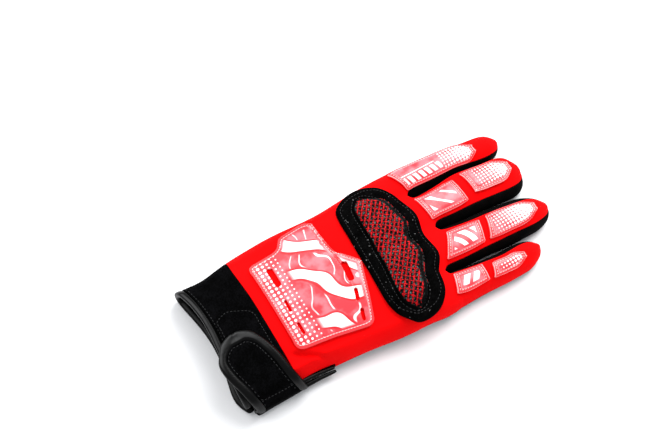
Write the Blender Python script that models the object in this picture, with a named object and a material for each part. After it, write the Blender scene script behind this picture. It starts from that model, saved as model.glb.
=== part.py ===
"""A right-hand riding glove that lies palm down with its thumb folded under the palm.

Lengths are in metres. +X runs from the mouth of the cuff to the fingertips, +Y to the thumb side, +Z up.
"""

import math

import bmesh
import bpy
from mathutils import Vector
from mathutils.bvhtree import BVHTree

# The glove's own sizes
GLOVE_LENGTH = 0.246
HAND_WIDTH = 0.106
HAND_HEIGHT = 0.0275
FINGER_HEIGHT = 0.018
CUFF_LENGTH = 0.036

# Cloth and padding
BACK_WALL = 0.0016
PALM_WALL = 0.0014
FOURCHETTE_WALL = 0.0012
CUFF_WALL = 0.0025
THUMB_WALL = 0.0013
PATCH_WALL = 0.0014
PAD_WALL = 0.0009
STRAP_WALL = 0.0024
SURROUND_HEIGHT = 0.0030
GUARD_HEIGHT = 0.0068

# Clearances between pieces that are sewn or pressed together
SEAM_GAP = 0.0004
LAY_GAP = 0.0004
LEAST_LAY_GAP = 0.0003

# Cuff, slit and strap
MOUTH_BINDING = 0.0040
BINDING_PROUD = 0.0004
SLIT_END = 0.062
SLIT_BINDING = 0.0024
SLIT_NARROWS = 0.55
PIPING_NARROWS = 0.55
PIPING_SIDES = 6
PIPING_STEPS = 8
TAPE_ROUNDING = (0.15, 0.75)
STRAP_BINDING = 0.0038

# The thumb, folded flat under the palm
THUMB_HEIGHT = 0.0090
THUMB_WIDTH = 0.029
THUMB_BASE = (0.060, 0.028)
THUMB_TIP = (0.120, -0.005)
THUMB_RAMP = 0.020
THUMB_MARGIN = 0.003
THUMB_LANES = 6
THUMB_STATIONS = (0.01, 0.05, 0.12, 0.22, 0.32, 0.42, 0.54, 0.66, 0.78, 0.88, 0.95, 0.99)
THUMB_TIP_WIDTH = 0.86
THUMB_FACE_WIDTH = 0.82
THUMB_END_HEIGHT = 0.62
THUMB_EDGE_DROP = 0.16
THUMB_UNDER_RISE = 0.10
THUMB_SIDE_RISE = 0.45
THUMB_END_BULGE = 0.0006

# Opening at the thumb's base: shares of THUMB_WIDTH behind, ahead and to each side of the base
THUMB_HOLE = (-0.25, 0.75, 0.32)

# How far the side seams lie inside the widest line of the hand and of the outer fingers
HAND_SIDE_INSET = 0.0048
FINGER_SIDE_INSET = 0.0030
FOURCHETTE_BULGE = 0.0040
INSET_CHANGE = (0.56, 0.64)
WEB_BULGE = 0.0012
TIP_BULGE = 0.0011

# The back of the hand: shares of GLOVE_LENGTH, HAND_WIDTH (twice) and HAND_HEIGHT
HAND_COLUMNS = ("along", "little", "thumb", "crown")
HAND_ROWS = (
    (0.000, -0.373, 0.462, 0.91),
    (0.073, -0.375, 0.449, 0.90),
    (0.146, -0.385, 0.472, 0.94),
    (0.260, -0.415, 0.485, 0.98),
    (0.358, -0.438, 0.480, 1.00),
    (0.443, -0.465, 0.478, 1.00),
    (0.549, -0.482, 0.494, 0.99),
    (0.634, -0.492, 0.500, 0.88),
    (0.690, -0.496, 0.502, 0.76),
)

# Where the fingers part and end: shares of GLOVE_LENGTH
ROOT_ALONG = (0.622, 0.634, 0.684, 0.671, 0.650)
TIP_ALONG = {"little": 0.904, "ring": 0.995, "middle": 0.998, "index": 0.994}
FINGERS = ("little", "ring", "middle", "index")

# Red top of each finger: share of the finger's reach, then shares of HAND_WIDTH
FINGER_COLUMNS = ("reach", "little_edge", "thumb_edge")
FINGER_ROWS = {
    "little": (
        (0.00, -0.462, -0.278),
        (0.03, -0.463, -0.302),
        (0.08, -0.465, -0.308),
        (0.29, -0.472, -0.325),
        (0.58, -0.485, -0.356),
        (0.80, -0.486, -0.354),
        (1.00, -0.465, -0.360),
    ),
    "ring": (
        (0.00, -0.278, -0.003),
        (0.03, -0.257, -0.026),
        (0.08, -0.247, -0.038),
        (0.27, -0.255, -0.060),
        (0.51, -0.269, -0.075),
        (0.80, -0.283, -0.102),
        (1.00, -0.282, -0.125),
    ),
    "middle": (
        (0.00, -0.003, 0.272),
        (0.03, 0.018, 0.250),
        (0.08, 0.029, 0.239),
        (0.22, 0.021, 0.241),
        (0.48, 0.011, 0.257),
        (0.75, -0.010, 0.225),
        (1.00, -0.025, 0.212),
    ),
    "index": (
        (0.00, 0.272, 0.472),
        (0.03, 0.294, 0.473),
        (0.08, 0.305, 0.475),
        (0.28, 0.297, 0.465),
        (0.53, 0.291, 0.448),
        (0.78, 0.252, 0.413),
        (1.00, 0.246, 0.408),
    ),
}

# Stations along a finger, as shares of its reach, and where its tip starts to round off
FINGER_STATIONS = (0.03, 0.08, 0.18, 0.32, 0.46, 0.60, 0.72, 0.82, 0.90, 0.96, 1.00)
TIP_START = 0.80
TIP_BLUNT = 0.96
TIP_LIMIT = 0.99
TIP_ROUNDNESS = 2.4
TIP_CROWN_DROP = 0.40
TIP_DROP_POWER = 2.6
TIP_FLOOR_RISE = 0.16
TIP_SIDE_DRAW = 0.5
CROWN_ROWS = ((0.00, 1.12), (0.15, 1.06), (0.40, 1.00), (0.80, 0.94), (1.00, 0.92))

# Heights of the side rows between the top seam (1) and the bottom seam (0), and how far each stands out
SIDE_RISE = (1.0, 0.62, 0.27, 0.0)
SIDE_OUT = (0.0, 0.86, 1.0, 0.62)
HAND_DOME = 3.0
FINGER_DOME = 2.2
TOP_SEAM_RISE = 0.76
BOTTOM_SEAM_RISE = 0.06
ROOT_BLEND = 0.10
ROOT_HEIGHT_BLEND = 0.75

# Heights of the slit's middle and of its upper and lower edges when open, as shares of the side
SLIT_MIDDLE = 0.28
SLIT_OVER = 0.24
SLIT_UNDER = 0.17

LANES = 4
CUFF_STEPS = 4
SLIT_STEPS = 3
HAND_STEPS = 9

# Folds in the red cloth: place, direction and length as shares, depth as a share of HAND_HEIGHT
FOLD_COLUMNS = ("along", "across", "turn_deg", "length", "width", "depth")
FOLD_ROWS = (
    (0.190, -0.315, -24.0, 0.060, 0.030, 0.045),
    (0.205, 0.360, 12.0, 0.050, 0.026, 0.022),
    (0.590, 0.290, 80.0, 0.045, 0.020, 0.020),
)

# Patch on the back of the hand: shares of GLOVE_LENGTH and HAND_WIDTH
HAND_PATCH_COLUMNS = ("along", "little_edge", "thumb_edge")
HAND_PATCH_ROWS = (
    (0.181, -0.235, 0.300),
    (0.188, -0.262, 0.326),
    (0.205, -0.278, 0.333),
    (0.230, -0.289, 0.335),
    (0.256, -0.300, 0.338),
    (0.273, -0.306, 0.353),
    (0.285, -0.311, 0.387),
    (0.297, -0.317, 0.411),
    (0.330, -0.333, 0.418),
    (0.362, -0.348, 0.420),
    (0.378, -0.349, 0.412),
    (0.388, -0.338, 0.388),
    (0.3925, -0.322, 0.163),
    (0.405, -0.252, 0.128),
    (0.421, -0.150, 0.082),
    (0.436, -0.050, 0.040),
    (0.4425, -0.005, 0.020),
)
HAND_PATCH_LANES = 16

# Slots through that patch: centre, size and turn
SLOT_COLUMNS = ("along", "across", "width", "length", "turn_deg")
SLOT_ROWS = (
    (0.224, 0.192, 0.0043, 0.0150, 0.0),
    (0.216, -0.010, 0.0020, 0.0090, -3.0),
    (0.215, -0.168, 0.0022, 0.0086, 0.0),
    (0.398, -0.008, 0.0044, 0.0145, -8.0),
    (0.385, -0.160, 0.0026, 0.0086, -20.0),
    (0.371, -0.283, 0.0025, 0.0080, -20.0),
)
SLOT_ARC_POINTS = 5
SLOT_CUTTER_FLOOR = 0.6

# Patches on the fingers: shares of the reach, then of the red top's half width
FINGER_PATCH_COLUMNS = ("finger", "start", "end", "little_side", "thumb_side", "slant", "nose")
FINGER_PATCHES = {
    "index_patch": ("index", 0.020, 0.745, -0.88, 0.80, 0.03, 0.20),
    "middle_base_patch": ("middle", 0.020, 0.400, -0.72, 0.74, 0.00, 0.00),
    "middle_tip_patch": ("middle", 0.475, 0.870, -0.56, 0.80, 0.00, 0.42),
    "ring_base_patch": ("ring", 0.055, 0.370, -0.72, 0.70, -0.055, 0.00),
    "ring_tip_patch": ("ring", 0.440, 0.865, -0.72, 0.78, -0.03, 0.40),
    "little_base_patch": ("little", 0.020, 0.340, -0.72, 0.62, -0.07, 0.00),
    "little_tip_patch": ("little", 0.410, 0.750, -0.72, 0.40, -0.08, 0.30),
}
PATCH_LENGTH_STEP = 0.0065
PATCH_INNER_LANES = (-0.5, 0.0, 0.5)
PATCH_END_SQUEEZE = 0.93

# Knuckle surround and guard: share across each one, then shares of GLOVE_LENGTH at both long edges
SURROUND_ACROSS = (-0.450, 0.432)
GUARD_ACROSS = (-0.400, 0.368)
KNUCKLE_COLUMNS = ("across", "surround_cuff", "surround_finger", "guard_cuff", "guard_finger")
KNUCKLE_ROWS = (
    (0.00, 0.500, 0.545, 0.502, 0.520),
    (0.03, 0.476, 0.574, 0.490, 0.538),
    (0.08, 0.456, 0.594, 0.481, 0.551),
    (0.15, 0.446, 0.604, 0.479, 0.557),
    (0.22, 0.444, 0.612, 0.481, 0.567),
    (0.30, 0.445, 0.634, 0.484, 0.583),
    (0.38, 0.447, 0.634, 0.488, 0.590),
    (0.46, 0.449, 0.630, 0.490, 0.586),
    (0.54, 0.450, 0.636, 0.492, 0.588),
    (0.62, 0.452, 0.646, 0.495, 0.602),
    (0.70, 0.454, 0.641, 0.497, 0.600),
    (0.78, 0.456, 0.633, 0.499, 0.596),
    (0.86, 0.459, 0.624, 0.501, 0.588),
    (0.93, 0.466, 0.606, 0.506, 0.570),
    (0.97, 0.482, 0.588, 0.516, 0.558),
    (1.00, 0.516, 0.560, 0.526, 0.546),
)
GUARD_KNUCKLES = 4
GUARD_BUMP = 0.0011
GUARD_END_RISE = 0.45
GUARD_END_GROWTH = 6.0

# Sections of both: share inward, share of the height, then which of the seats it stands on
SURROUND_SEATS = (0.00, 0.45, 1.00)
SURROUND_SECTION = (
    (0.00, 0.0, 0),
    (0.00, 0.45, 0),
    (0.10, 0.85, 0),
    (0.45, 1.0, 1),
    (0.88, 0.9, 2),
    (1.00, 0.6, 2),
    (1.00, 0.0, 2),
    (0.45, 0.0, 1),
)
GUARD_SEATS = (0.0, 0.45, 0.86)
GUARD_SECTION = ((0.00, 0.55, 0), (0.08, 0.72, 0), (0.26, 0.90, 0), (0.55, 1.0, 1), (0.86, 0.97, 2))

# Strap: share of its run from the side seam to its rounded end, then shares of CUFF_LENGTH,
# then how much of the strap's width its bound border takes on each side, at the least
STRAP_START = 0.0030
STRAP_REACH = 0.0625
STRAP_COLUMNS = ("run", "mouth_edge", "hand_edge", "border_share")
STRAP_ROWS = (
    (0.000, 0.100, 1.120, 0.05),
    (0.250, 0.125, 1.040, 0.05),
    (0.460, 0.060, 0.965, 0.05),
    (0.600, -0.020, 0.920, 0.05),
    (0.770, -0.064, 0.830, 0.06),
    (0.860, -0.010, 0.760, 0.16),
    (0.905, 0.035, 0.715, 0.30),
    (0.955, 0.110, 0.640, 0.40),
    (1.000, 0.280, 0.470, 0.40),
)
STRAP_RUNS = (0.0, 0.12, 0.24, 0.36, 0.48, 0.60, 0.70, 0.79, 0.86, 0.905, 0.955, 1.0)
STRAP_LANES = 6
STRAP_END_STEPS = 2

# Mouth of the cuff: share of HAND_WIDTH across, then how far its under and upper edges lie
# toward the hand from a straight edge
MOUTH_COLUMNS = ("across", "under", "upper")
MOUTH_ROWS = (
    (-0.440, 0.0045, 0.0000),
    (-0.360, -0.0005, 0.0000),
    (-0.280, -0.0040, 0.0000),
    (-0.150, -0.0015, 0.0000),
    (-0.030, 0.0008, 0.0012),
    (0.090, 0.0014, 0.0024),
    (0.250, 0.0006, 0.0028),
    (0.380, -0.0012, 0.0012),
    (0.470, -0.0026, -0.0022),
)
MOUTH_FADE = 1.6

# Loop pad under the strap's end: share of CUFF_LENGTH, then shares of HAND_WIDTH
LOOP_PAD_ROWS = (
    (0.20, -0.300, 0.125),
    (0.28, -0.300, 0.150),
    (0.46, -0.300, 0.163),
    (0.62, -0.300, 0.146),
    (0.86, -0.300, 0.100),
    (0.94, -0.300, 0.055),
)
LOOP_PAD_LANES = 8

# How a piece is laid on the back: reach of the slope's reading and the steepest slope that it follows
SLOPE_REACH = 0.003
STEEPEST = 1.1
SETTLE_SPOTS = 4
SETTLE_ROUNDS = 4


def clear_scene():
    """Empty the file of every object."""
    for thing in list(bpy.data.objects):
        bpy.data.objects.remove(thing, do_unlink=True)


def material(name, colour, roughness, metallic=0.0):
    """A plain Principled material."""
    made = bpy.data.materials.new(name)
    made.use_nodes = True
    shader = made.node_tree.nodes["Principled BSDF"]
    shader.inputs["Base Color"].default_value = (*colour, 1.0)
    shader.inputs["Roughness"].default_value = roughness
    shader.inputs["Metallic"].default_value = metallic
    made.diffuse_color = (*colour, 1.0)
    return made


def between(low, high, share):
    """The value at a share of the way from low to high."""
    return low + (high - low) * share


def eased(value):
    """A smooth step from 0 to 1."""
    t = min(1.0, max(0.0, value))
    return t * t * (3.0 - 2.0 * t)


def read_row(rows, place):
    """Read a table at a place in its first column, on straight lines between rows."""
    if place <= rows[0][0]:
        return rows[0][1:]
    for low, high in zip(rows, rows[1:]):
        if place <= high[0]:
            share = (place - low[0]) / (high[0] - low[0])
            return tuple(between(a, b, share) for a, b in zip(low[1:], high[1:]))
    return rows[-1][1:]


def read_curve(rows, place):
    """Read a table at a place in its first column, on a smooth curve through its rows."""
    last = len(rows) - 1
    place = min(rows[last][0], max(rows[0][0], place))
    step = next(i for i in range(last) if place <= rows[i + 1][0])
    low, high = rows[step], rows[step + 1]
    before, after = rows[max(0, step - 1)], rows[min(last, step + 2)]
    span = high[0] - low[0]
    t = (place - low[0]) / span
    values = []
    for column in range(1, len(low)):
        slope_low = (high[column] - before[column]) / (high[0] - before[0]) * span
        slope_high = (after[column] - low[column]) / (after[0] - low[0]) * span
        values.append(
            (2 * t**3 - 3 * t**2 + 1) * low[column]
            + (t**3 - 2 * t**2 + t) * slope_low
            + (3 * t**2 - 2 * t**3) * high[column]
            + (t**3 - t**2) * slope_high
        )
    return tuple(values)


class Skin:
    """Named points and faces of one surface, which panels are cut from."""

    def __init__(self):
        self.points = {}
        self.faces = []

    def add(self, key, point):
        self.points[key] = Vector(point)

    def face(self, keys, panel):
        self.faces.append((tuple(keys), panel))

    def normals(self):
        """Smooth outward directions at every point."""
        mesh = bmesh.new()
        verts = {key: mesh.verts.new(point) for key, point in self.points.items()}
        for keys, _ in self.faces:
            mesh.faces.new([verts[key] for key in keys])
        bmesh.ops.recalc_face_normals(mesh, faces=mesh.faces[:])
        mesh.normal_update()
        highest = max(mesh.faces, key=lambda face: face.calc_center_median().z)
        sign = 1.0 if highest.normal.z > 0.0 else -1.0
        found = {key: vert.normal * sign for key, vert in verts.items()}
        mesh.free()
        return found


def new_object(name, mesh, shade):
    """Turn a bmesh into a named object with its material."""
    bmesh.ops.triangulate(mesh, faces=mesh.faces[:])
    bmesh.ops.recalc_face_normals(mesh, faces=mesh.faces[:])
    data = bpy.data.meshes.new(name)
    mesh.to_mesh(data)
    mesh.free()
    data.materials.append(shade)
    made = bpy.data.objects.new(name, data)
    bpy.context.collection.objects.link(made)
    return made


def panel_from_skin(name, skin, directions, panel, wall, shade, lift=0.0):
    """Cut one panel out of a skin, set back at its seams, and give it its wall inward."""
    faces = [keys for keys, tag in skin.faces if tag == panel]
    sides = {}
    for keys in faces:
        for a, b in zip(keys, keys[1:] + keys[:1]):
            sides.setdefault(frozenset((a, b)), []).append((a, b))
    edge_sides = [pair[0] for pair in sides.values() if len(pair) == 1]
    edge_points = {key for side in edge_sides for key in side}
    pull = {key: Vector() for key in edge_points}
    for keys in faces:
        middle = sum((skin.points[key] for key in keys), Vector()) / len(keys)
        for key in keys:
            if key in pull:
                pull[key] += (middle - skin.points[key]).normalized()
    mesh = bmesh.new()
    outer, inner = {}, {}
    for key in {key for keys in faces for key in keys}:
        point = skin.points[key] + directions[key] * lift
        if key in pull:
            point = point + pull[key].normalized() * (SEAM_GAP / 2) * math.sqrt(2)
        outer[key] = mesh.verts.new(point)
        inner[key] = mesh.verts.new(point - directions[key] * wall)
    for keys in faces:
        mesh.faces.new([outer[key] for key in keys])
        mesh.faces.new([inner[key] for key in reversed(keys)])
    for a, b in edge_sides:
        mesh.faces.new([outer[b], outer[a], inner[a], inner[b]])
    return new_object(name, mesh, shade)


# The body of the glove


def hand_row(x):
    """Widest lines and crown height of the hand at x."""
    little, thumb, crown = read_curve(HAND_ROWS, x / GLOVE_LENGTH)
    return little * HAND_WIDTH, thumb * HAND_WIDTH, crown * HAND_HEIGHT


def finger_root(finger, across):
    """Where a finger starts, at a share across its lanes."""
    index = FINGERS.index(finger)
    low, high = ROOT_ALONG[index : index + 2]
    return between(low, high, across) * GLOVE_LENGTH


def tip_turn(reach):
    """How far the tip has rounded off, from 0 to TIP_BLUNT."""
    return min(TIP_LIMIT, max(0.0, (reach - TIP_START) / (1.0 - TIP_START)) * TIP_BLUNT)


def finger_edges(finger, reach):
    """Both edges of a finger's red top at a share of its reach."""
    low, high = read_row(FINGER_ROWS[finger], reach)
    middle, half = (low + high) / 2, (high - low) / 2
    half *= (1.0 - tip_turn(reach) ** TIP_ROUNDNESS) ** (1 / TIP_ROUNDNESS)
    return (middle - half) * HAND_WIDTH, (middle + half) * HAND_WIDTH


def finger_crown(reach):
    """Height of a finger's ridge."""
    (share,) = read_curve(CROWN_ROWS, reach)
    return share * FINGER_HEIGHT * (1.0 - TIP_CROWN_DROP * tip_turn(reach) ** TIP_DROP_POWER)


def slot_bulge(finger, toward, reach):
    """How far a fourchette stands out from the red top's edge."""
    index = FINGERS.index(finger)
    neighbour = index + (1 if toward > 0 else -1)
    if not 0 <= neighbour < len(FINGERS):
        return FINGER_SIDE_INSET
    upper, lower = FINGERS[max(index, neighbour)], FINGERS[min(index, neighbour)]
    slot = read_row(FINGER_ROWS[upper], reach)[0] - read_row(FINGER_ROWS[lower], reach)[1]
    return max(SEAM_GAP, min(FOURCHETTE_BULGE, slot * HAND_WIDTH / 2 - SEAM_GAP))


def thumb_lift(x, y):
    """How far the folded thumb lifts the palm off the table."""
    base, tip = Vector(THUMB_BASE), Vector(THUMB_TIP)
    run = tip - base
    share = min(1.0, max(0.0, (Vector((x, y)) - base).dot(run) / run.length_squared))
    away = (Vector((x, y)) - base - run * share).length
    return (THUMB_HEIGHT + LAY_GAP) * (1.0 - eased((away - THUMB_WIDTH / 2 - THUMB_MARGIN) / THUMB_RAMP))


def fold_depth(x, y):
    """Depth of the folds in the cloth at a place."""
    total = 0.0
    for along, across, turn, length, width, depth in FOLD_ROWS:
        offset = Vector((x - along * GLOVE_LENGTH, y - across * HAND_WIDTH))
        angle = math.radians(turn)
        line = offset.x * math.cos(angle) + offset.y * math.sin(angle)
        side = offset.y * math.cos(angle) - offset.x * math.sin(angle)
        share = (line / (length * GLOVE_LENGTH)) ** 2 + (side / (width * GLOVE_LENGTH)) ** 2
        total += depth * HAND_HEIGHT * math.exp(-2.0 * share)
    return total


def lane_share(lane):
    """Share across a finger of one of its lane lines, from -1 to 1."""
    return 2.0 * lane / LANES - 1.0


def lane_finger(line):
    """The finger that a lane line of the hand runs to."""
    return FINGERS[min(line // LANES, len(FINGERS) - 1)]


def hand_top(step, line):
    """A point on the back of the hand: step counts from the mouth, line from the little finger's side."""
    finger = lane_finger(line)
    lane = line - FINGERS.index(finger) * LANES
    root = finger_root(finger, lane / LANES)
    mouth = MOUTH_BINDING + SEAM_GAP
    if step <= CUFF_STEPS:
        x = between(mouth, CUFF_LENGTH, step / CUFF_STEPS)
    elif step <= CUFF_STEPS + SLIT_STEPS:
        x = between(CUFF_LENGTH, SLIT_END, (step - CUFF_STEPS) / SLIT_STEPS)
    else:
        x = between(SLIT_END, root, (step - CUFF_STEPS - SLIT_STEPS) / HAND_STEPS)
    little, thumb, crown = hand_row(x)
    low, high = little + HAND_SIDE_INSET, thumb - HAND_SIDE_INSET
    little_root, thumb_root, _ = hand_row(root)
    low_root, high_root = little_root + HAND_SIDE_INSET, thumb_root - HAND_SIDE_INSET
    edge_low, edge_high = (value * HAND_WIDTH for value in FINGER_ROWS[finger][0][1:])
    target = between(edge_low, edge_high, lane / LANES)
    share = (target - low_root) / (high_root - low_root)
    share = min(1.0, max(0.0, share))
    near_root = eased((x - root) / (ROOT_BLEND * GLOVE_LENGTH) + 1.0)
    y = between(between(low, high, share), target, near_root)
    across = 2.0 * share - 1.0
    hand_z = crown * (TOP_SEAM_RISE + (1.0 - TOP_SEAM_RISE) * (1.0 - abs(across) ** HAND_DOME))
    finger_z = between(max(crown, finger_crown(0.0)), finger_crown(0.0), near_root)
    finger_z *= TOP_SEAM_RISE + (1.0 - TOP_SEAM_RISE) * (1.0 - abs(lane_share(lane)) ** FINGER_DOME)
    z = between(hand_z, finger_z, ROOT_HEIGHT_BLEND * near_root) - fold_depth(x, y)
    return Vector((x, y, z))


def finger_top(finger, reach, across):
    """A point on a finger's red top, with across from -1 to 1."""
    root = finger_root(finger, (across + 1) / 2)
    x = between(root, TIP_ALONG[finger] * GLOVE_LENGTH, reach)
    low, high = finger_edges(finger, reach)
    crown = finger_crown(reach)
    z = crown * (TOP_SEAM_RISE + (1.0 - TOP_SEAM_RISE) * (1.0 - abs(across) ** FINGER_DOME))
    return Vector((x, between(low, high, (across + 1) / 2), z))


def side_points(skin, key_for, top, floor, outward, inset):
    """The rows that lead from a top seam down to the bottom seam."""
    bottom = floor + BOTTOM_SEAM_RISE * top.z
    for row in range(1, len(SIDE_RISE)):
        z = between(bottom, top.z, SIDE_RISE[row])
        skin.add(key_for(row), top + outward * inset * SIDE_OUT[row] + Vector((0, 0, z - top.z)))


def slit_share(x):
    """How far the slit on the little finger's side is open, from 1 at the cuff to a point."""
    return 1.0 - SLIT_NARROWS * eased((x - CUFF_LENGTH) / (SLIT_END - CUFF_LENGTH))


def body_skin():
    """The whole outside of the glove, tagged with the panel that each face belongs to."""
    skin = Skin()
    lines = LANES * len(FINGERS)
    last_hand = CUFF_STEPS + SLIT_STEPS + HAND_STEPS
    rows = len(SIDE_RISE) - 1
    for step in range(last_hand + 1):
        for line in range(lines + 1):
            skin.add(("top", step, line), hand_top(step, line))
        for line, name, sign in ((0, "low", -1.0), (lines, "high", 1.0)):
            top = skin.points[("top", step, line)]
            floor = thumb_lift(top.x, top.y)
            near_root = eased((top.x / GLOVE_LENGTH - INSET_CHANGE[0]) / (INSET_CHANGE[1] - INSET_CHANGE[0]))
            inset = between(HAND_SIDE_INSET, FINGER_SIDE_INSET, near_root)
            side_points(skin, lambda row: (name, step, row), top, floor, Vector((0, sign, 0)), inset)
            if line == 0 and step <= CUFF_STEPS + SLIT_STEPS:
                share = slit_share(top.x)
                edges = (SLIT_MIDDLE + SLIT_OVER * share, SLIT_MIDDLE - SLIT_UNDER * share)
                for row, rise in enumerate(edges, start=1):
                    point = skin.points[(name, step, row)]
                    point.z = between(BOTTOM_SEAM_RISE * top.z, top.z, rise)
        low, high = skin.points[("low", step, rows)], skin.points[("high", step, rows)]
        span = skin.points[("top", step, lines)].y - skin.points[("top", step, 0)].y
        for line in range(1, lines):
            top = skin.points[("top", step, line)]
            share = (top.y - skin.points[("top", step, 0)].y) / span
            y = between(low.y, high.y, share)
            skin.add(("floor", step, line), (top.x, y, thumb_lift(top.x, y)))
        skin.points[("floor", step, 0)] = low
        skin.points[("floor", step, lines)] = high

    def floor_key(step, line):
        if line == 0:
            return ("low", step, rows)
        if line == lines:
            return ("high", step, rows)
        return ("floor", step, line)

    for step in range(last_hand):
        cuff = step < CUFF_STEPS
        for line in range(lines):
            corners = [("top", step, line), ("top", step + 1, line)]
            corners += [("top", step + 1, line + 1), ("top", step, line + 1)]
            skin.face(corners, "cuff_back" if cuff else "back_panel")
            keys = [floor_key(step, line), floor_key(step, line + 1)]
            keys += [floor_key(step + 1, line + 1), floor_key(step + 1, line)]
            middle = sum((skin.points[key] for key in keys), Vector()) / len(keys)
            panel = "cuff_palm" if cuff else "palm_panel"
            skin.face(keys, "thumb_hole" if in_thumb_hole(middle) else panel)
        for name, line in (("low", 0), ("high", lines)):
            for row in range(rows):
                upper = ("top", step, line) if row == 0 else (name, step, row)
                upper_next = ("top", step + 1, line) if row == 0 else (name, step + 1, row)
                keys = [upper, (name, step, row + 1), (name, step + 1, row + 1), upper_next]
                if name == "high":
                    keys.reverse()
                if row == rows - 1:
                    panel = "cuff_palm" if cuff else "palm_panel"
                else:
                    panel = "cuff_back" if cuff else "back_panel"
                if name == "low" and row == 1 and step < CUFF_STEPS + SLIT_STEPS:
                    panel = "slit"
                skin.face(keys, panel)
    for finger in FINGERS:
        add_finger(skin, finger, last_hand, floor_key)
    return skin


def in_thumb_hole(point):
    """Whether a place on the palm lies over the thumb's open base."""
    base, tip = Vector(THUMB_BASE), Vector(THUMB_TIP)
    run = (tip - base).normalized()
    offset = Vector((point.x, point.y)) - base
    line, side = offset.dot(run), offset.x * run.y - offset.y * run.x
    behind, ahead, aside = (share * THUMB_WIDTH for share in THUMB_HOLE)
    return behind < line < ahead and abs(side) < aside


def add_finger(skin, finger, last_hand, floor_key):
    """One finger: red top, sides, rounded tip and flat underside."""
    index = FINGERS.index(finger)
    first_line = index * LANES
    rows = len(SIDE_RISE) - 1
    count = len(FINGER_STATIONS)

    def top_key(station, lane):
        if station == 0:
            return ("top", last_hand, first_line + lane)
        return (finger, "top", station, lane)

    def side_key(side, station, row):
        lane = 0 if side < 0 else LANES
        if row == 0:
            return top_key(station, lane)
        if station > 0:
            return (finger, side, station, row)
        line = first_line + lane
        if line == 0:
            return ("low", last_hand, row)
        if line == LANES * len(FINGERS):
            return ("high", last_hand, row)
        return floor_key(last_hand, line) if row == rows else ("web", line, row)

    def under_key(station, lane):
        if lane == 0:
            return side_key(-1, station, rows)
        if lane == LANES:
            return side_key(1, station, rows)
        if station == 0:
            return floor_key(last_hand, first_line + lane)
        return (finger, "under", station, lane)

    for side in (-1, 1):
        line = first_line + (0 if side < 0 else LANES)
        if 0 < line < LANES * len(FINGERS):
            top = skin.points[("top", last_hand, line)]
            for row in range(1, rows):
                x = top.x + WEB_BULGE * SIDE_OUT[row]
                skin.points[("web", line, row)] = Vector((x, top.y, top.z * SIDE_RISE[row]))
    for station, reach in enumerate(FINGER_STATIONS, start=1):
        turned = tip_turn(reach)
        for lane in range(LANES + 1):
            skin.add(top_key(station, lane), finger_top(finger, reach, lane_share(lane)))
        floor = TIP_FLOOR_RISE * FINGER_HEIGHT * turned**3
        for side in (-1, 1):
            top = skin.points[top_key(station, 0 if side < 0 else LANES)]
            out = slot_bulge(finger, side, reach) * (1.0 - TIP_SIDE_DRAW * turned)
            outward = Vector((0, side, 0))
            side_points(skin, lambda row: (finger, side, station, row), top, floor, outward, out)
        low, high = skin.points[under_key(station, 0)], skin.points[under_key(station, LANES)]
        for lane in range(1, LANES):
            x = skin.points[top_key(station, lane)].x
            skin.add(under_key(station, lane), (x, between(low.y, high.y, lane / LANES), floor))
    for lane in range(1, LANES):
        top = skin.points[top_key(count, lane)]
        under = skin.points[under_key(count, lane)]
        for row in range(1, rows):
            z = between(under.z, top.z, SIDE_RISE[row])
            skin.add((finger, "end", lane, row), (top.x + TIP_BULGE * SIDE_OUT[row], top.y, z))

    def end_key(lane, row):
        if row == 0:
            return top_key(count, lane)
        if row == rows:
            return under_key(count, lane)
        if lane == 0:
            return side_key(-1, count, row)
        if lane == LANES:
            return side_key(1, count, row)
        return (finger, "end", lane, row)

    for station in range(count):
        for lane in range(LANES):
            keys = [top_key(station, lane), top_key(station + 1, lane)]
            keys += [top_key(station + 1, lane + 1), top_key(station, lane + 1)]
            skin.face(keys, "back_panel")
            keys = [under_key(station, lane), under_key(station, lane + 1)]
            keys += [under_key(station + 1, lane + 1), under_key(station + 1, lane)]
            skin.face(keys, "palm_panel")
        for side in (-1, 1):
            line = first_line + (0 if side < 0 else LANES)
            inside = 0 < line < LANES * len(FINGERS)
            for row in range(rows):
                keys = [side_key(side, station, row), side_key(side, station, row + 1)]
                keys += [side_key(side, station + 1, row + 1), side_key(side, station + 1, row)]
                if side > 0:
                    keys.reverse()
                if inside:
                    panel = fourchette_name(line)
                else:
                    panel = "palm_panel" if row == rows - 1 else "back_panel"
                skin.face(keys, panel)
    for lane in range(LANES):
        for row in range(rows):
            keys = [end_key(lane, row), end_key(lane, row + 1)]
            keys += [end_key(lane + 1, row + 1), end_key(lane + 1, row)]
            skin.face(keys, "palm_panel" if row == rows - 1 else "back_panel")


def fourchette_name(line):
    """Name of the strip between the two fingers that meet at a lane line."""
    index = line // LANES
    return "fourchette_" + FINGERS[index] + "_" + FINGERS[index - 1]


# The folded thumb


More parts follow.
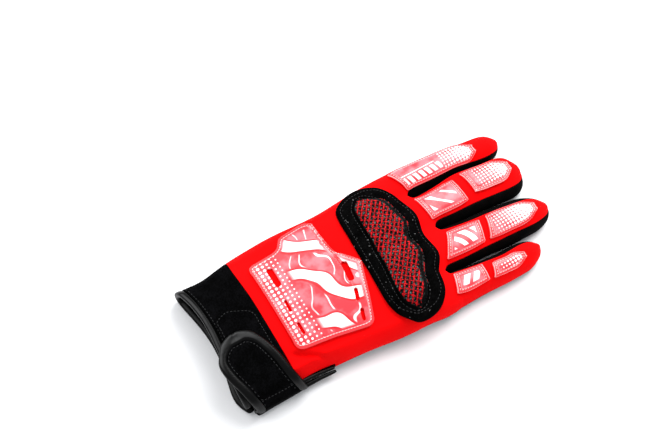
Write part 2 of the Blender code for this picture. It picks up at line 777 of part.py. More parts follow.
def thumb_skin():
    """A flat pouch with rounded ends, open on top at its base."""
    skin = Skin()
    base, tip = Vector(THUMB_BASE), Vector(THUMB_TIP)
    run = (tip - base).normalized()
    across = Vector((-run.y, run.x))
    start = base - run * THUMB_WIDTH / 2
    length = (tip - base).length + THUMB_WIDTH
    lanes = THUMB_LANES
    for station, share in enumerate(THUMB_STATIONS):
        from_end = min(share, 1.0 - share) * length / (THUMB_WIDTH / 2)
        half = THUMB_WIDTH / 2 * math.sqrt(1.0 - max(0.0, 1.0 - from_end) ** 2)
        narrow = between(1.0, THUMB_TIP_WIDTH, share)
        height = THUMB_HEIGHT * between(THUMB_END_HEIGHT, 1.0, math.sqrt(min(1.0, from_end)))
        for lane in range(lanes + 1):
            side = 2.0 * lane / lanes - 1.0
            place = start + run * share * length + across * half * narrow * side * THUMB_FACE_WIDTH
            skin.add(("top", station, lane), (*place, height * (1.0 - THUMB_EDGE_DROP * abs(side) ** 3)))
            skin.add(("under", station, lane), (*place, THUMB_UNDER_RISE * height * abs(side) ** 4))
        for side, name in ((-1, "low"), (1, "high")):
            place = start + run * share * length + across * half * narrow * side
            skin.add((name, station), (*place, height * THUMB_SIDE_RISE))
    last = len(THUMB_STATIONS) - 1
    for end, station, push in (("start", 0, -1), ("end", last, 1)):
        for lane in range(1, lanes):
            top = skin.points[("top", station, lane)]
            bulge = run * push * THUMB_END_BULGE
            skin.add((end, lane), (top.x + bulge.x, top.y + bulge.y, top.z * THUMB_SIDE_RISE))

    def middle(station, lane):
        if lane == 0:
            return ("low", station)
        if lane == lanes:
            return ("high", station)
        return ("start" if station == 0 else "end", lane)

    for station in range(last):
        for lane in range(lanes):
            keys = [("top", station, lane), ("top", station + 1, lane)]
            keys += [("top", station + 1, lane + 1), ("top", station, lane + 1)]
            centre = sum((skin.points[key] for key in keys), Vector()) / len(keys)
            skin.face(keys, "open" if in_thumb_hole(centre) else "thumb")
            keys = [("under", station, lane), ("under", station, lane + 1)]
            keys += [("under", station + 1, lane + 1), ("under", station + 1, lane)]
            skin.face(keys, "thumb")
        for lane, name, flip in ((0, "low", False), (lanes, "high", True)):
            for upper, lower in ((("top", lane), (name,)), ((name,), ("under", lane))):
                keys = [point_key(upper, station), point_key(lower, station)]
                keys += [point_key(lower, station + 1), point_key(upper, station + 1)]
                skin.face(keys[::-1] if flip else keys, "thumb")
    for station in (0, last):
        for lane in range(lanes):
            keys = [("top", station, lane), middle(station, lane)]
            keys += [middle(station, lane + 1), ("top", station, lane + 1)]
            skin.face(keys, "thumb")
            keys = [middle(station, lane), ("under", station, lane)]
            keys += [("under", station, lane + 1), middle(station, lane + 1)]
            skin.face(keys, "thumb")
    return skin


def point_key(name, station):
    """Key of a point in the thumb's skin: a row's name, the station and, in a sheet, its lane."""
    return (name[0], station, *name[1:])


# Pieces that lie on the glove


class Ground:
    """The outside of the glove's back, which other pieces are laid on."""

    def __init__(self, skin):
        mesh = bmesh.new()
        verts = {key: mesh.verts.new(point) for key, point in skin.points.items()}
        for keys, _ in skin.faces:
            mesh.faces.new([verts[key] for key in keys])
        bmesh.ops.triangulate(mesh, faces=mesh.faces[:])
        self.tree = BVHTree.FromBMesh(mesh)
        mesh.free()

    def settle(self, points, faces):
        """How much each point of an underside rises so that no face of it dips into the back."""
        raised = [point.copy() for point in points]
        shares = [i / SETTLE_SPOTS for i in range(SETTLE_SPOTS + 1)]
        spots = [(u, v) for u in shares for v in shares]
        for _ in range(SETTLE_ROUNDS):
            for face in faces:
                a, b, c, d = (raised[i] for i in face)
                need = 0.0
                for u, v in spots:
                    spot = a.lerp(b, u).lerp(d.lerp(c, u), v)
                    need = max(need, self.height(spot.x, spot.y) + LEAST_LAY_GAP - spot.z)
                for i in face:
                    raised[i].z += need
        return [after.z - before.z for after, before in zip(raised, points)]

    def height(self, x, y):
        """Height of the back at a place."""
        hit = self.tree.ray_cast(Vector((x, y, 1.0)), Vector((0, 0, -1)))
        return hit[0].z if hit[0] else 0.0

    def lay(self, x, y, lift):
        """A point at a lift above the back, square to its slope."""
        reach = SLOPE_REACH
        slope_x = (self.height(x + reach, y) - self.height(x - reach, y)) / (2 * reach)
        slope_y = (self.height(x, y + reach) - self.height(x, y - reach)) / (2 * reach)
        lean = [max(-STEEPEST, min(STEEPEST, -part)) for part in (slope_x, slope_y)]
        slope = Vector((*lean, 1.0))
        return Vector((x, y, self.height(x, y))) + slope.normalized() * lift


def flat_sheet(name, ground, columns, wall, shade):
    """A closed sheet of one thickness laid on the glove's back, from columns of places."""
    rows = len(columns[0])
    cells = [(i, j) for i in range(len(columns) - 1) for j in range(rows - 1)]
    corners = [((i, j), (i + 1, j), (i + 1, j + 1), (i, j + 1)) for i, j in cells]
    under = [ground.lay(*place, LAY_GAP) for column in columns for place in column]
    upper = [ground.lay(*place, LAY_GAP + wall) for column in columns for place in column]
    rise = ground.settle(under, [[i * rows + j for i, j in corner] for corner in corners])
    mesh = bmesh.new()
    low = [mesh.verts.new(point + Vector((0, 0, more))) for point, more in zip(under, rise)]
    high = [mesh.verts.new(point + Vector((0, 0, more))) for point, more in zip(upper, rise)]
    for corner in corners:
        mesh.faces.new([high[i * rows + j] for i, j in corner])
        mesh.faces.new([low[i * rows + j] for i, j in reversed(corner)])
    last = len(columns) - 1
    border = [i * rows for i in range(last + 1)]
    border += [last * rows + j for j in range(1, rows)]
    border += [i * rows + rows - 1 for i in range(last - 1, -1, -1)]
    border += [j for j in range(rows - 2, 0, -1)]
    for first, second in zip(border, border[1:] + border[:1]):
        mesh.faces.new([high[second], high[first], low[first], low[second]])
    return new_object(name, mesh, shade)


def make_finger_patch(name, ground, shade):
    """A patch along one finger, with its lanes on the finger's own lanes."""
    finger, start, end, little, thumb, slant, nose = FINGER_PATCHES[name]
    length = (end - start) * (TIP_ALONG[finger] * GLOVE_LENGTH - finger_root(finger, 0.5))
    steps = max(3, round(length / PATCH_LENGTH_STEP))
    lanes = [little] + [side for side in PATCH_INNER_LANES if little < side < thumb] + [thumb]
    columns = []
    for step in range(steps + 1):
        share = step / steps
        squeeze = 1.0
        if nose and share > 1.0 - nose:
            squeeze = math.sqrt(max(0.0, 1.0 - ((share - 1.0 + nose) / nose * PATCH_END_SQUEEZE) ** 2))
        elif step in (0, steps):
            squeeze = PATCH_END_SQUEEZE
        middle = (little + thumb) / 2
        column = []
        for side in lanes:
            across = middle + (side - middle) * squeeze
            reach = between(start, end, share) - slant * (1.0 - share) * across / 2
            point = finger_top(finger, reach, across)
            column.append((point.x, point.y))
        columns.append(column)
    return flat_sheet(name, ground, columns, PATCH_WALL, shade)


def capsule(length, width):
    """Outline of a round-ended slot, lengthwise on Y."""
    radius, straight = width / 2, (length - width) / 2
    points = []
    for end in (1, -1):
        for arc in range(SLOT_ARC_POINTS):
            angle = math.pi * arc / (SLOT_ARC_POINTS - 1) + (0 if end > 0 else math.pi)
            points.append(Vector((radius * math.cos(angle), end * straight + radius * math.sin(angle), 0)))
    return points


def slot_cutter(row):
    """A tall block with round ends that cuts one slot."""
    along, across, width, length, turn = row
    mesh = bmesh.new()
    base = [mesh.verts.new(point) for point in capsule(length, width)]
    face = mesh.faces.new(base)
    risen = bmesh.ops.extrude_face_region(mesh, geom=[face])["geom"]
    moved = [item for item in risen if isinstance(item, bmesh.types.BMVert)]
    bmesh.ops.translate(mesh, verts=moved, vec=(0, 0, HAND_HEIGHT))
    cutter = new_object("slot_cutter", mesh, material("cutter", (0.5, 0.5, 0.5), 0.5))
    cutter.location = (along * GLOVE_LENGTH, across * HAND_WIDTH, SLOT_CUTTER_FLOOR * HAND_HEIGHT)
    cutter.rotation_euler = (0, 0, math.radians(turn))
    cutter.hide_render = True
    cutter.display_type = "WIRE"
    return cutter


def make_hand_patch(ground, shade):
    """The large patch on the back of the hand, with its six slots cut through."""
    columns = []
    for along, little, thumb in HAND_PATCH_ROWS:
        column = []
        for lane in range(HAND_PATCH_LANES + 1):
            across = between(little, thumb, lane / HAND_PATCH_LANES)
            column.append((along * GLOVE_LENGTH, across * HAND_WIDTH))
        columns.append(column)
    patch = flat_sheet("hand_patch", ground, columns, PATCH_WALL, shade)
    for row in SLOT_ROWS:
        cut = patch.modifiers.new("slot", "BOOLEAN")
        cut.operation = "DIFFERENCE"
        cut.solver = "EXACT"
        cut.object = slot_cutter(row)
    return patch


def knuckle_loop(reach_across, cuff_column, finger_column):
    """Closed outline through the knuckle table: up the cuff side and back down the finger side."""
    low, high = reach_across
    places = []
    for row in KNUCKLE_ROWS:
        places.append((row[cuff_column] * GLOVE_LENGTH, between(low, high, row[0]) * HAND_WIDTH))
    for row in reversed(KNUCKLE_ROWS):
        places.append((row[finger_column] * GLOVE_LENGTH, between(low, high, row[0]) * HAND_WIDTH))
    return places


def blend_loops(first, second, share):
    """An outline part of the way from one to another."""
    return [(between(a[0], b[0], share), between(a[1], b[1], share)) for a, b in zip(first, second)]


def inset_loop(loop, distance):
    """An outline moved inward by a distance."""
    moved = []
    for before, here, after in zip(loop[-1:] + loop[:-1], loop, loop[1:] + loop[:1]):
        run = Vector((after[0] - before[0], after[1] - before[1])).normalized()
        moved.append((here[0] + run.y * distance, here[1] - run.x * distance))
    return moved


def bridge(mesh, first, second):
    """Faces between two rings of points."""
    for i in range(len(first)):
        k = (i + 1) % len(first)
        mesh.faces.new([first[i], first[k], second[k], second[i]])


def ring_faces(count, rings):
    """Faces between neighbouring rings of points that are numbered ring after ring."""
    faces = []
    for ring in range(rings - 1):
        for i in range(count):
            k = (i + 1) % count
            near, far = ring * count, (ring + 1) * count
            faces.append([near + i, near + k, far + k, far + i])
    return faces


def make_surround(ground, shade):
    """The padded black ring round the knuckle guard."""
    outer = knuckle_loop(SURROUND_ACROSS, 1, 2)
    inner = inset_loop(knuckle_loop(GUARD_ACROSS, 3, 4), -LAY_GAP)
    count = len(outer)
    blends = [blend_loops(outer, inner, share) for share in SURROUND_SEATS]
    under = [ground.lay(*place, LAY_GAP) for blend in blends for place in blend]
    rise = ground.settle(under, ring_faces(count, len(blends)))
    mesh = bmesh.new()
    rings = []
    for share, high, seat in SURROUND_SECTION:
        ring = []
        for i, place in enumerate(blend_loops(outer, inner, share)):
            point = ground.lay(*place, LAY_GAP + SURROUND_HEIGHT * high)
            ring.append(mesh.verts.new(point + Vector((0, 0, rise[seat * count + i]))))
        rings.append(ring)
    for first, second in zip(rings, rings[1:] + rings[:1]):
        bridge(mesh, first, second)
    return new_object("knuckle_surround", mesh, shade)


def make_guard(ground, shade):
    """The moulded guard over the knuckles: foam with a low bump over each one."""
    edge = knuckle_loop(GUARD_ACROSS, 3, 4)
    half = len(KNUCKLE_ROWS)
    count = 2 * half
    spine = []
    for place in range(half):
        cuff, finger = edge[place], edge[count - 1 - place]
        spine.append(((cuff[0] + finger[0]) / 2, (cuff[1] + finger[1]) / 2))
    spine = spine + spine[::-1]
    low, high = (share * HAND_WIDTH for share in GUARD_ACROSS)
    caps = [[place, place + 1, count - 2 - place, count - 1 - place] for place in range(half - 1)]

    def lift(y, share):
        across = (y - low) / (high - low)
        ends = min(1.0, GUARD_END_GROWTH * min(across, 1.0 - across) + GUARD_END_RISE)
        wave = GUARD_BUMP * math.cos(2 * math.pi * (across * GUARD_KNUCKLES - 0.5)) * share
        return LAY_GAP + GUARD_HEIGHT * share * ends + wave * ends

    blends = [blend_loops(edge, spine, share) for share in GUARD_SEATS]
    under = [ground.lay(*place, LAY_GAP) for blend in blends for place in blend]
    last = (len(blends) - 1) * count
    faces = ring_faces(count, len(blends)) + [[last + i for i in cap] for cap in caps]
    rise = ground.settle(under, faces)
    mesh = bmesh.new()
    points = [mesh.verts.new(point + Vector((0, 0, more))) for point, more in zip(under, rise)]
    rings = [points[last : last + count], points[count : 2 * count], points[:count]]
    for share, height, seat in GUARD_SECTION:
        ring = []
        for i, place in enumerate(blend_loops(edge, spine, share)):
            point = ground.lay(*place, lift(place[1], height))
            ring.append(mesh.verts.new(point + Vector((0, 0, rise[seat * count + i]))))
        rings.append(ring)
    for first, second in zip(rings, rings[1:]):
        bridge(mesh, first, second)
    for ring in (rings[0], rings[-1]):
        for cap in caps:
            mesh.faces.new([ring[i] for i in cap])
    return new_object("knuckle_guard", mesh, shade)


# Cuff pieces


def section_point(skin, directions, name, x, lift):
    """A point on the skin's line with this name, at x, lifted off the surface."""

    def key(step):
        return (name[0], step, *name[1:])

    last = CUFF_STEPS + SLIT_STEPS - 1
    step = next((i for i in range(last) if x <= skin.points[key(i + 1)].x), last)
    low, high = skin.points[key(step)], skin.points[key(step + 1)]
    share = (x - low.x) / (high.x - low.x)
    point = low.lerp(high, share)
    way = directions[key(step)].lerp(directions[key(step + 1)], min(1.0, max(0.0, share)))
    point.x = x
    way.x = 0.0
    return point + way.normalized() * lift


def cuff_line_names():
    """Names of the skin's lines round the cuff, from above the slit over the back and under to below it."""
    lines = LANES * len(FINGERS)
    rows = len(SIDE_RISE) - 1
    names = [("low", 1)] + [("top", line) for line in range(lines + 1)]
    names += [("high", row) for row in range(1, rows + 1)]
    names += [("floor", line) for line in range(lines - 1, 0, -1)]
    return names + [("low", rows), ("low", 2)]


def make_mouth_binding(skin, directions, shade):
    """The tape folded over the edge of the cuff's mouth."""
    thick = CUFF_WALL + BINDING_PROUD
    near, far = TAPE_ROUNDING
    profile = (
        (near * MOUTH_BINDING, BINDING_PROUD),
        (MOUTH_BINDING, BINDING_PROUD),
        (MOUTH_BINDING, -thick),
        (near * MOUTH_BINDING, -thick),
        (0.0, -far * thick),
        (0.0, -near * thick),
    )
    mesh = bmesh.new()
    rings = []
    for name in cuff_line_names():
        ring = []
        for x, lift in profile:
            point = section_point(skin, directions, name, x, lift)
            point.z = max(0.0, point.z)
            ring.append(mesh.verts.new(point))
        rings.append(ring)
    for first, second in zip(rings, rings[1:]):
        bridge(mesh, first, second)
    mesh.faces.new(rings[0])
    mesh.faces.new(rings[-1])
    return new_object("mouth_binding", mesh, shade)


def make_slit_binding(name, skin, directions, line, away, shade):
    """The piping along one edge of the slit, tapering to its end."""
    start, end = MOUTH_BINDING + SEAM_GAP, SLIT_END - 4 * SEAM_GAP
    mesh = bmesh.new()
    rings = []
    for step in range(PIPING_STEPS + 1):
        x = between(start, end, step / PIPING_STEPS)
        radius = SLIT_BINDING / 2 * (1.0 - PIPING_NARROWS * eased((x - CUFF_LENGTH) / (end - CUFF_LENGTH)))
        centre = section_point(skin, directions, line, x, -radius)
        centre.z += away * (radius + SEAM_GAP)
        ring = []
        for corner in range(PIPING_SIDES):
            angle = 2 * math.pi * (corner + 0.5) / PIPING_SIDES
            ring.append(mesh.verts.new(centre + Vector((0, math.cos(angle), math.sin(angle))) * radius))
        rings.append(ring)
    for first, second in zip(rings, rings[1:]):
        bridge(mesh, first, second)
    mesh.faces.new(rings[0])
    mesh.faces.new(rings[-1])
    return new_object(name, mesh, shade)


def strap_line(skin, directions, x, run, lift):
    """A point on the strap's way: up the side of the cuff and over its back."""
    names = [("low", 3), ("low", 2), ("low", 1)] + [("top", line) for line in range(LANES * 3)]
    points = [section_point(skin, directions, name, x, lift) for name in names]
    left = STRAP_START + run * STRAP_REACH
    for first, second in zip(points, points[1:]):
        length = (second - first).length
        if left <= length:
            return first.lerp(second, left / length)
        left -= length
    return points[-1]


def strap_skin(skin, directions, lift):
    """The strap's outer surface, with its bound border tagged apart from its middle."""
    made = Skin()
    for step, run in enumerate(STRAP_RUNS):
        low, high, least = read_curve(STRAP_ROWS, run)
        low, high = low * CUFF_LENGTH, high * CUFF_LENGTH
        border = max(min(STRAP_BINDING, 0.3 * (high - low)), least * (high - low))
        shares = [lane / (STRAP_LANES - 2) for lane in range(STRAP_LANES - 1)]
        inner = [between(low + border, high - border, share) for share in shares]
        for lane, x in enumerate([low] + inner + [high]):
            made.add((step, lane), strap_line(skin, directions, x, run, lift))
    for step in range(len(STRAP_RUNS) - 1):
        for lane in range(STRAP_LANES):
            keys = [(step, lane), (step, lane + 1), (step + 1, lane + 1), (step + 1, lane)]
            border = lane in (0, STRAP_LANES - 1) or step >= len(STRAP_RUNS) - 1 - STRAP_END_STEPS
            made.face(keys, "strap_binding" if border else "strap")
    return made


def make_loop_pad(ground, shade):
    """The thin pad on the cuff that the strap grips."""
    columns = []
    for along, low, high in LOOP_PAD_ROWS:
        column = []
        for lane in range(LOOP_PAD_LANES + 1):
            across = between(low, high, lane / LOOP_PAD_LANES)
            column.append((along * CUFF_LENGTH, across * HAND_WIDTH))
        columns.append(column)
    return flat_sheet("loop_pad", ground, columns, PAD_WALL, shade)


def shape_mouth():
    """Draw the mouth's edge out and in, as the cuff lies, fading to nothing at the cuff's seam."""
    for thing in bpy.data.objects:
        if thing.type != "MESH" or thing.hide_render:
            continue
        for vert in thing.data.vertices:
            point = vert.co
            if point.x < CUFF_LENGTH:
                under, upper = read_curve(MOUTH_ROWS, point.y / HAND_WIDTH)
                shift = between(under, upper, eased(point.z / HAND_HEIGHT))
                point.x += shift * min(1.0, 1.0 - point.x / CUFF_LENGTH) ** MOUTH_FADE


def seat_on_table():
    """Move every piece so that the middle of the glove's underside is the origin."""
    pieces = [thing for thing in bpy.data.objects if thing.type == "MESH"]
    solids = [thing for thing in pieces if not thing.hide_render]
    corners = [thing.matrix_world @ vert.co for thing in solids for vert in thing.data.vertices]
    low = Vector(min(corner[axis] for corner in corners) for axis in range(3))
    high = Vector(max(corner[axis] for corner in corners) for axis in range(3))
    shift = Vector((-(low.x + high.x) / 2, -(low.y + high.y) / 2, -low.z))
    for thing in pieces:
        thing.location = thing.location + shift


def main():
    """Build the glove."""
    clear_scene()
    red = material("red_stretch_cloth", (0.72, 0.004, 0.006), 0.55)
    black = material("black_synthetic_leather", (0.012, 0.012, 0.012), 0.6)
    side_black = material("black_side_cloth", (0.010, 0.010, 0.010), 0.75)
    cuff_black = material("black_neoprene", (0.010, 0.010, 0.011), 0.8)
    tape = material("grey_black_binding", (0.035, 0.035, 0.038), 0.5)
    suede = material("black_suede", (0.008, 0.008, 0.008), 0.9)
    mesh_red = material("red_and_black_mesh", (0.42, 0.03, 0.03), 0.5)
    vinyl = material("pink_red_vinyl", (0.80, 0.25, 0.28), 0.35)

    skin = body_skin()
    ways = skin.normals()
    walls = (
        ("back_panel", BACK_WALL, red),
        ("palm_panel", PALM_WALL, black),
        ("cuff_back", CUFF_WALL, cuff_black),
        ("cuff_palm", CUFF_WALL, cuff_black),
        ("fourchette_index_middle", FOURCHETTE_WALL, side_black),
        ("fourchette_middle_ring", FOURCHETTE_WALL, side_black),
        ("fourchette_ring_little", FOURCHETTE_WALL, side_black),
    )
    for name, wall, shade in walls:
        panel_from_skin(name, skin, ways, name, wall, shade)
    thumb = thumb_skin()
    panel_from_skin("thumb", thumb, thumb.normals(), "thumb", THUMB_WALL, black)

    ground = Ground(skin)
    make_hand_patch(ground, vinyl)
    for name in FINGER_PATCHES:
        make_finger_patch(name, ground, vinyl)
    make_surround(ground, suede)
    make_guard(ground, mesh_red)

    make_mouth_binding(skin, ways, tape)
    make_slit_binding("slit_binding_back", skin, ways, ("low", 1), -1.0, tape)
    make_slit_binding("slit_binding_palm", skin, ways, ("low", 2), 1.0, tape)
    make_loop_pad(ground, cuff_black)
    strap = strap_skin(skin, ways, LAY_GAP + PAD_WALL + LAY_GAP + STRAP_WALL)
    strap_ways = strap.normals()
    panel_from_skin("strap", strap, strap_ways, "strap", STRAP_WALL, cuff_black)
    panel_from_skin("strap_binding", strap, strap_ways, "strap_binding", STRAP_WALL, tape)
    shape_mouth()
    seat_on_table()


main()
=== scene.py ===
# %% [markdown]
# A full-finger riding glove for the right hand, lying palm down on a white table.
# The solid parts come in as a fixed frame. Each one is then dressed: its edges are
# softened as sewn cloth is, and it gets thread, print, weave and pile.
# Dressing the solids, and not modelling anew, keeps every piece where it belongs.

import math

import bmesh
import bpy
import numpy as np
from mathutils import Matrix, Vector
from mathutils.bvhtree import BVHTree
from mathutils.kdtree import KDTree


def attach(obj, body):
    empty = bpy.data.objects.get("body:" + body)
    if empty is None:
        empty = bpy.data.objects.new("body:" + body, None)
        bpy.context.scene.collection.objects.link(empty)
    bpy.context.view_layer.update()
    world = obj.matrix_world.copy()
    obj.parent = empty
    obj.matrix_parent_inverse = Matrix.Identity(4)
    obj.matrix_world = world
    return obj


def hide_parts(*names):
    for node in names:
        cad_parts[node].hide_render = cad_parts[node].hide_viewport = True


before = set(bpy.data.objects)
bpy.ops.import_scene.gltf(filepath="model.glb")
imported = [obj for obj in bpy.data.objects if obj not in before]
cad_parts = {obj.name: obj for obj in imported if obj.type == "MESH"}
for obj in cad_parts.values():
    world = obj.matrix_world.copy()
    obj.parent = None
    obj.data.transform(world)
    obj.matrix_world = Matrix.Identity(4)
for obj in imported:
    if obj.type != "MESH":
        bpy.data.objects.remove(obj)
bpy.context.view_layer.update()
MM = 0.001

# %% [markdown]
# The camera stands where the photographer stood: above the cuff's end, looking down
# at 65 degrees. Its lens and place were worked out from the plan of the glove, so
# the render can be laid over the photograph.

# %% Camera
EYE = Vector((-0.14485, -0.1690, 0.5588))
AHEAD = Vector((0.519, 0.855, 0.0))
LOOK_DOWN = math.radians(65.0)
camera_data = bpy.data.cameras.new("camera")
camera_data.lens = 49.116
camera_data.sensor_width = 36.0
camera = bpy.data.objects.new("camera", camera_data)
bpy.context.scene.collection.objects.link(camera)
sight = AHEAD * math.cos(LOOK_DOWN) - Vector((0, 0, math.sin(LOOK_DOWN)))
camera.location = EYE
camera.rotation_euler = sight.to_track_quat("-Z", "Y").to_euler()
bpy.context.scene.camera = camera
bpy.context.scene.view_settings.view_transform = "Standard"
print("camera looks along", [round(v, 3) for v in sight])

# %% [markdown]
# A product picture on white has one broad soft lamp, a second one to fill the
# shadows and pale walls all round. Wide lamps make the wide, weak shadows that the
# photograph shows on the left of the cuff.

# %% Lamps and the pale room
MIDDLE = Vector((0.0, 0.0, 0.01))
LAMPS = (
    ("key_lamp", Vector((0.55, 0.30, 0.75)), 0.70, 11.0),
    ("fill_lamp", Vector((-0.35, 0.75, 0.80)), 0.90, 6.0),
)
for name, place, width, power in LAMPS:
    lamp_data = bpy.data.lights.new(name, "AREA")
    lamp_data.size = width
    lamp_data.energy = power
    lamp = bpy.data.objects.new(name, lamp_data)
    lamp.location = place
    lamp.rotation_euler = (MIDDLE - place).to_track_quat("-Z", "Y").to_euler()
    bpy.context.scene.collection.objects.link(lamp)
room = bpy.data.worlds.new("pale_room")
room.use_nodes = True
room.node_tree.nodes["Background"].inputs["Color"].default_value = (0.95, 0.97, 1.0, 1)
room.node_tree.nodes["Background"].inputs["Strength"].default_value = 0.75
bpy.context.scene.world = room
print("lamps:", len(LAMPS))

# %% [markdown]
# A material is a chain of small nodes. These helpers place one node and join it in
# one line, so that each finish below reads as a recipe.

# %% Helpers for materials
class Recipe:
    """One material and a short way to add nodes to it."""

    def __init__(self, name):
        self.material = bpy.data.materials.new(name)
        self.material.use_nodes = True
        self.tree = self.material.node_tree
        self.shader = self.tree.nodes["Principled BSDF"]

    def join(self, value, socket):
        if isinstance(value, bpy.types.NodeSocket):
            self.tree.links.new(value, socket)
        elif value is not None:
            socket.default_value = value

    def node(self, kind, **sockets):
        made = self.tree.nodes.new("ShaderNode" + kind)
        for key, value in sockets.items():
            self.join(value, made.inputs[key.replace("_", " ")])
        return made

    def sum(self, work, *values):
        made = self.node("Math")
        made.operation = work
        for value, socket in zip(values, made.inputs):
            self.join(value, socket)
        return made.outputs[0]

    def step(self, value, low, high, start=0.0, end=1.0):
        """Goes smoothly from start to end while value goes from low to high."""
        made = self.node("MapRange")
        made.interpolation_type = "SMOOTHSTEP"
        for item, socket in zip((value, low, high, start, end), made.inputs):
            self.join(item, socket)
        return made.outputs[0]

    def blend(self, share, first, second):
        made = self.node("Mix")
        made.data_type = "RGBA"
        for item, number in ((share, 0), (first, 6), (second, 7)):
            self.join(item, made.inputs[number])
        return made.outputs[2]

    def noise(self, place, scale, detail=2.0):
        return self.node("TexNoise", Vector=place, Scale=scale, Detail=detail).outputs[0]

    def bump(self, height, distance, strength=1.0):
        made = self.node("Bump", Height=height, Distance=distance, Strength=strength)
        self.join(made.outputs[0], self.shader.inputs["Normal"])

    def both(self, *values):
        found = values[0]
        for value in values[1:]:
            found = self.sum("MULTIPLY", found, value)
        return found

    def either(self, first, second):
        return self.sum("MAXIMUM", first, second)

    def length(self, right, up):
        squares = [self.sum("POWER", side, 2.0) for side in (right, up)]
        return self.sum("SQRT", self.sum("ADD", *squares))

    def turned(self, first, second, turn):
        """How far a place lies along a line at an angle, and to the left of it."""
        scaled = [self.sum("MULTIPLY", value, part) for value, part in (
            (first, math.cos(turn)), (second, math.sin(turn)),
            (second, math.cos(turn)), (first, math.sin(turn)))]
        return self.sum("ADD", *scaled[:2]), self.sum("SUBTRACT", *scaled[2:])

    def inside(self, value, low, high, soft):
        """1 while value lies between low and high, with soft sides."""
        rise = self.step(value, low - soft, low + soft)
        return self.both(rise, self.step(value, high - soft, high + soft, 1.0, 0.0))

    def dots(self, along, across, pitch, radius):
        """1 inside round dots on a plain grid."""
        row = self.sum("DIVIDE", across, pitch[1])
        turn = self.sum("DIVIDE", along, pitch[0])
        right = self.sum("MULTIPLY", self.sum("SUBTRACT", self.sum("FRACT", turn), 0.5), pitch[0])
        up = self.sum("MULTIPLY", self.sum("SUBTRACT", self.sum("FRACT", row), 0.5), pitch[1])
        outside = self.sum("SUBTRACT", self.length(right, up), radius)
        return self.step(outside, -0.10 * MM, 0.10 * MM, 1.0, 0.0)

    def place(self):
        return self.node("TexCoord").outputs["Object"]

    def marks(self):
        """The three measures that are written on the piece, as store() left them."""
        made = self.node("Attribute")
        made.attribute_name = "lay"
        return self.node("SeparateXYZ", Vector=made.outputs["Vector"]).outputs

    def set(self, **sockets):
        for key, value in sockets.items():
            self.join(value, self.shader.inputs[key.replace("_", " ")])


print("recipe helpers ready")

# %% [markdown]
# The table is a plain white sheet. It is one flat face, much larger than the view,
# and it isn't part of the glove.

# %% Table
bpy.ops.object.select_all(action="DESELECT")
bpy.ops.mesh.primitive_plane_add(size=6.0, location=(0, 0, 0))
table = bpy.context.active_object
table.name = "table"
white = Recipe("white_table")
white.set(Base_Color=(0.92, 0.92, 0.925, 1), Roughness=0.6)
table.data.materials.append(white.material)
print("table:", table.dimensions.x, "m wide")

# %% [markdown]
# The back of the glove is a smooth stretch cloth in bright red. Seen close it has
# fine knit loops, and it takes a little light at grazing angles, as brushed fibres
# do. The colour is nearly pure, so the loops show only in the bump.

# %% Red stretch cloth
red_cloth = Recipe("red_stretch_cloth")
place = red_cloth.place()
loops = red_cloth.node(
    "TexWave", Vector=place, Scale=420.0, Distortion=3.0, Detail=1.0, Detail_Scale=2.0)
grain = red_cloth.noise(place, 1500.0, 2.0)
cloud = red_cloth.noise(place, 35.0, 3.0)
shade = red_cloth.blend(cloud, (0.86, 0.0010, 0.0015, 1), (0.96, 0.0020, 0.0030, 1))
red_cloth.set(Base_Color=shade, Roughness=0.85, Specular_IOR_Level=0.05)
red_cloth.bump(red_cloth.sum("ADD", loops.outputs[1], grain), 0.00008, 0.5)
print("red cloth nodes:", len(red_cloth.tree.nodes))

# %% [markdown]
# Four black finishes differ only in their surface: the palm's synthetic leather has
# pores, the side cloth a fine grain, the cuff a looped pile, and the ring round the
# guard a nap that is brushed in patches. The ring's nap also gets a few tiny pale
# specks, which are painted glints. One function makes them all.

# %% Black finishes
GLINT_SCALE = 620.0
GLINT_RARITY = (0.80, 0.83)
PAINTED_GLINT = (0.9, 0.9, 0.9, 1)


def black_finish(name, dark, light, scale, depth, roughness, shine, glint_share=0.0):
    made = Recipe(name)
    place = made.place()
    fine = made.noise(place, scale, 3.0)
    coarse = made.noise(place, scale * 0.12, 2.0)
    share = made.step(made.sum("ADD", fine, made.sum("MULTIPLY", coarse, 0.6)), 0.62, 1.05)
    colour = made.blend(share, (*dark, 1), (*light, 1))
    # Tiny pale specks in the nap: painted glints
    if glint_share:
        glint_speck = made.step(made.noise(place, GLINT_SCALE, 0.0), *GLINT_RARITY)
        colour = made.blend(made.both(glint_speck, glint_share), colour, PAINTED_GLINT)
    made.set(Base_Color=colour, Roughness=roughness, Specular_IOR_Level=shine)
    made.bump(fine, depth, 0.8)
    return made


palm_leather = black_finish(
    "palm_synthetic_leather", (0.0015,) * 3, (0.005,) * 3, 900.0, 0.00012, 0.62, 0.10)
side_cloth = black_finish(
    "black_side_cloth", (0.0012,) * 3, (0.0035,) * 3, 1400.0, 0.00010, 0.80, 0.03)
looped_pile = black_finish(
    "cuff_looped_pile", (0.0008,) * 3, (0.0030, 0.0030, 0.0034), 1100.0, 0.00025, 0.95, 0.012)
napped_suede = black_finish(
    "napped_black_suede", (0.0007,) * 3, (0.0028,) * 3, 1300.0, 0.00020, 0.95, 0.010, 0.16)
print("black finishes: palm, side cloth, pile, suede")

# %% [markdown]
# The binding is a woven tape with a satin face, folded over each raw edge. It is
# near black. A soft grey line along its crown is a painted highlight: the colour is
# paler where the tape faces up, and patchy along its length. Fine ribs run across it.

# %% Satin binding tape
# Which way a face must look, and how nearly, to get the painted highlight
HIGHLIGHT_WAY = (-0.17, 0.17, 0.97)
HIGHLIGHT_SHARE = (0.925, 1.0)


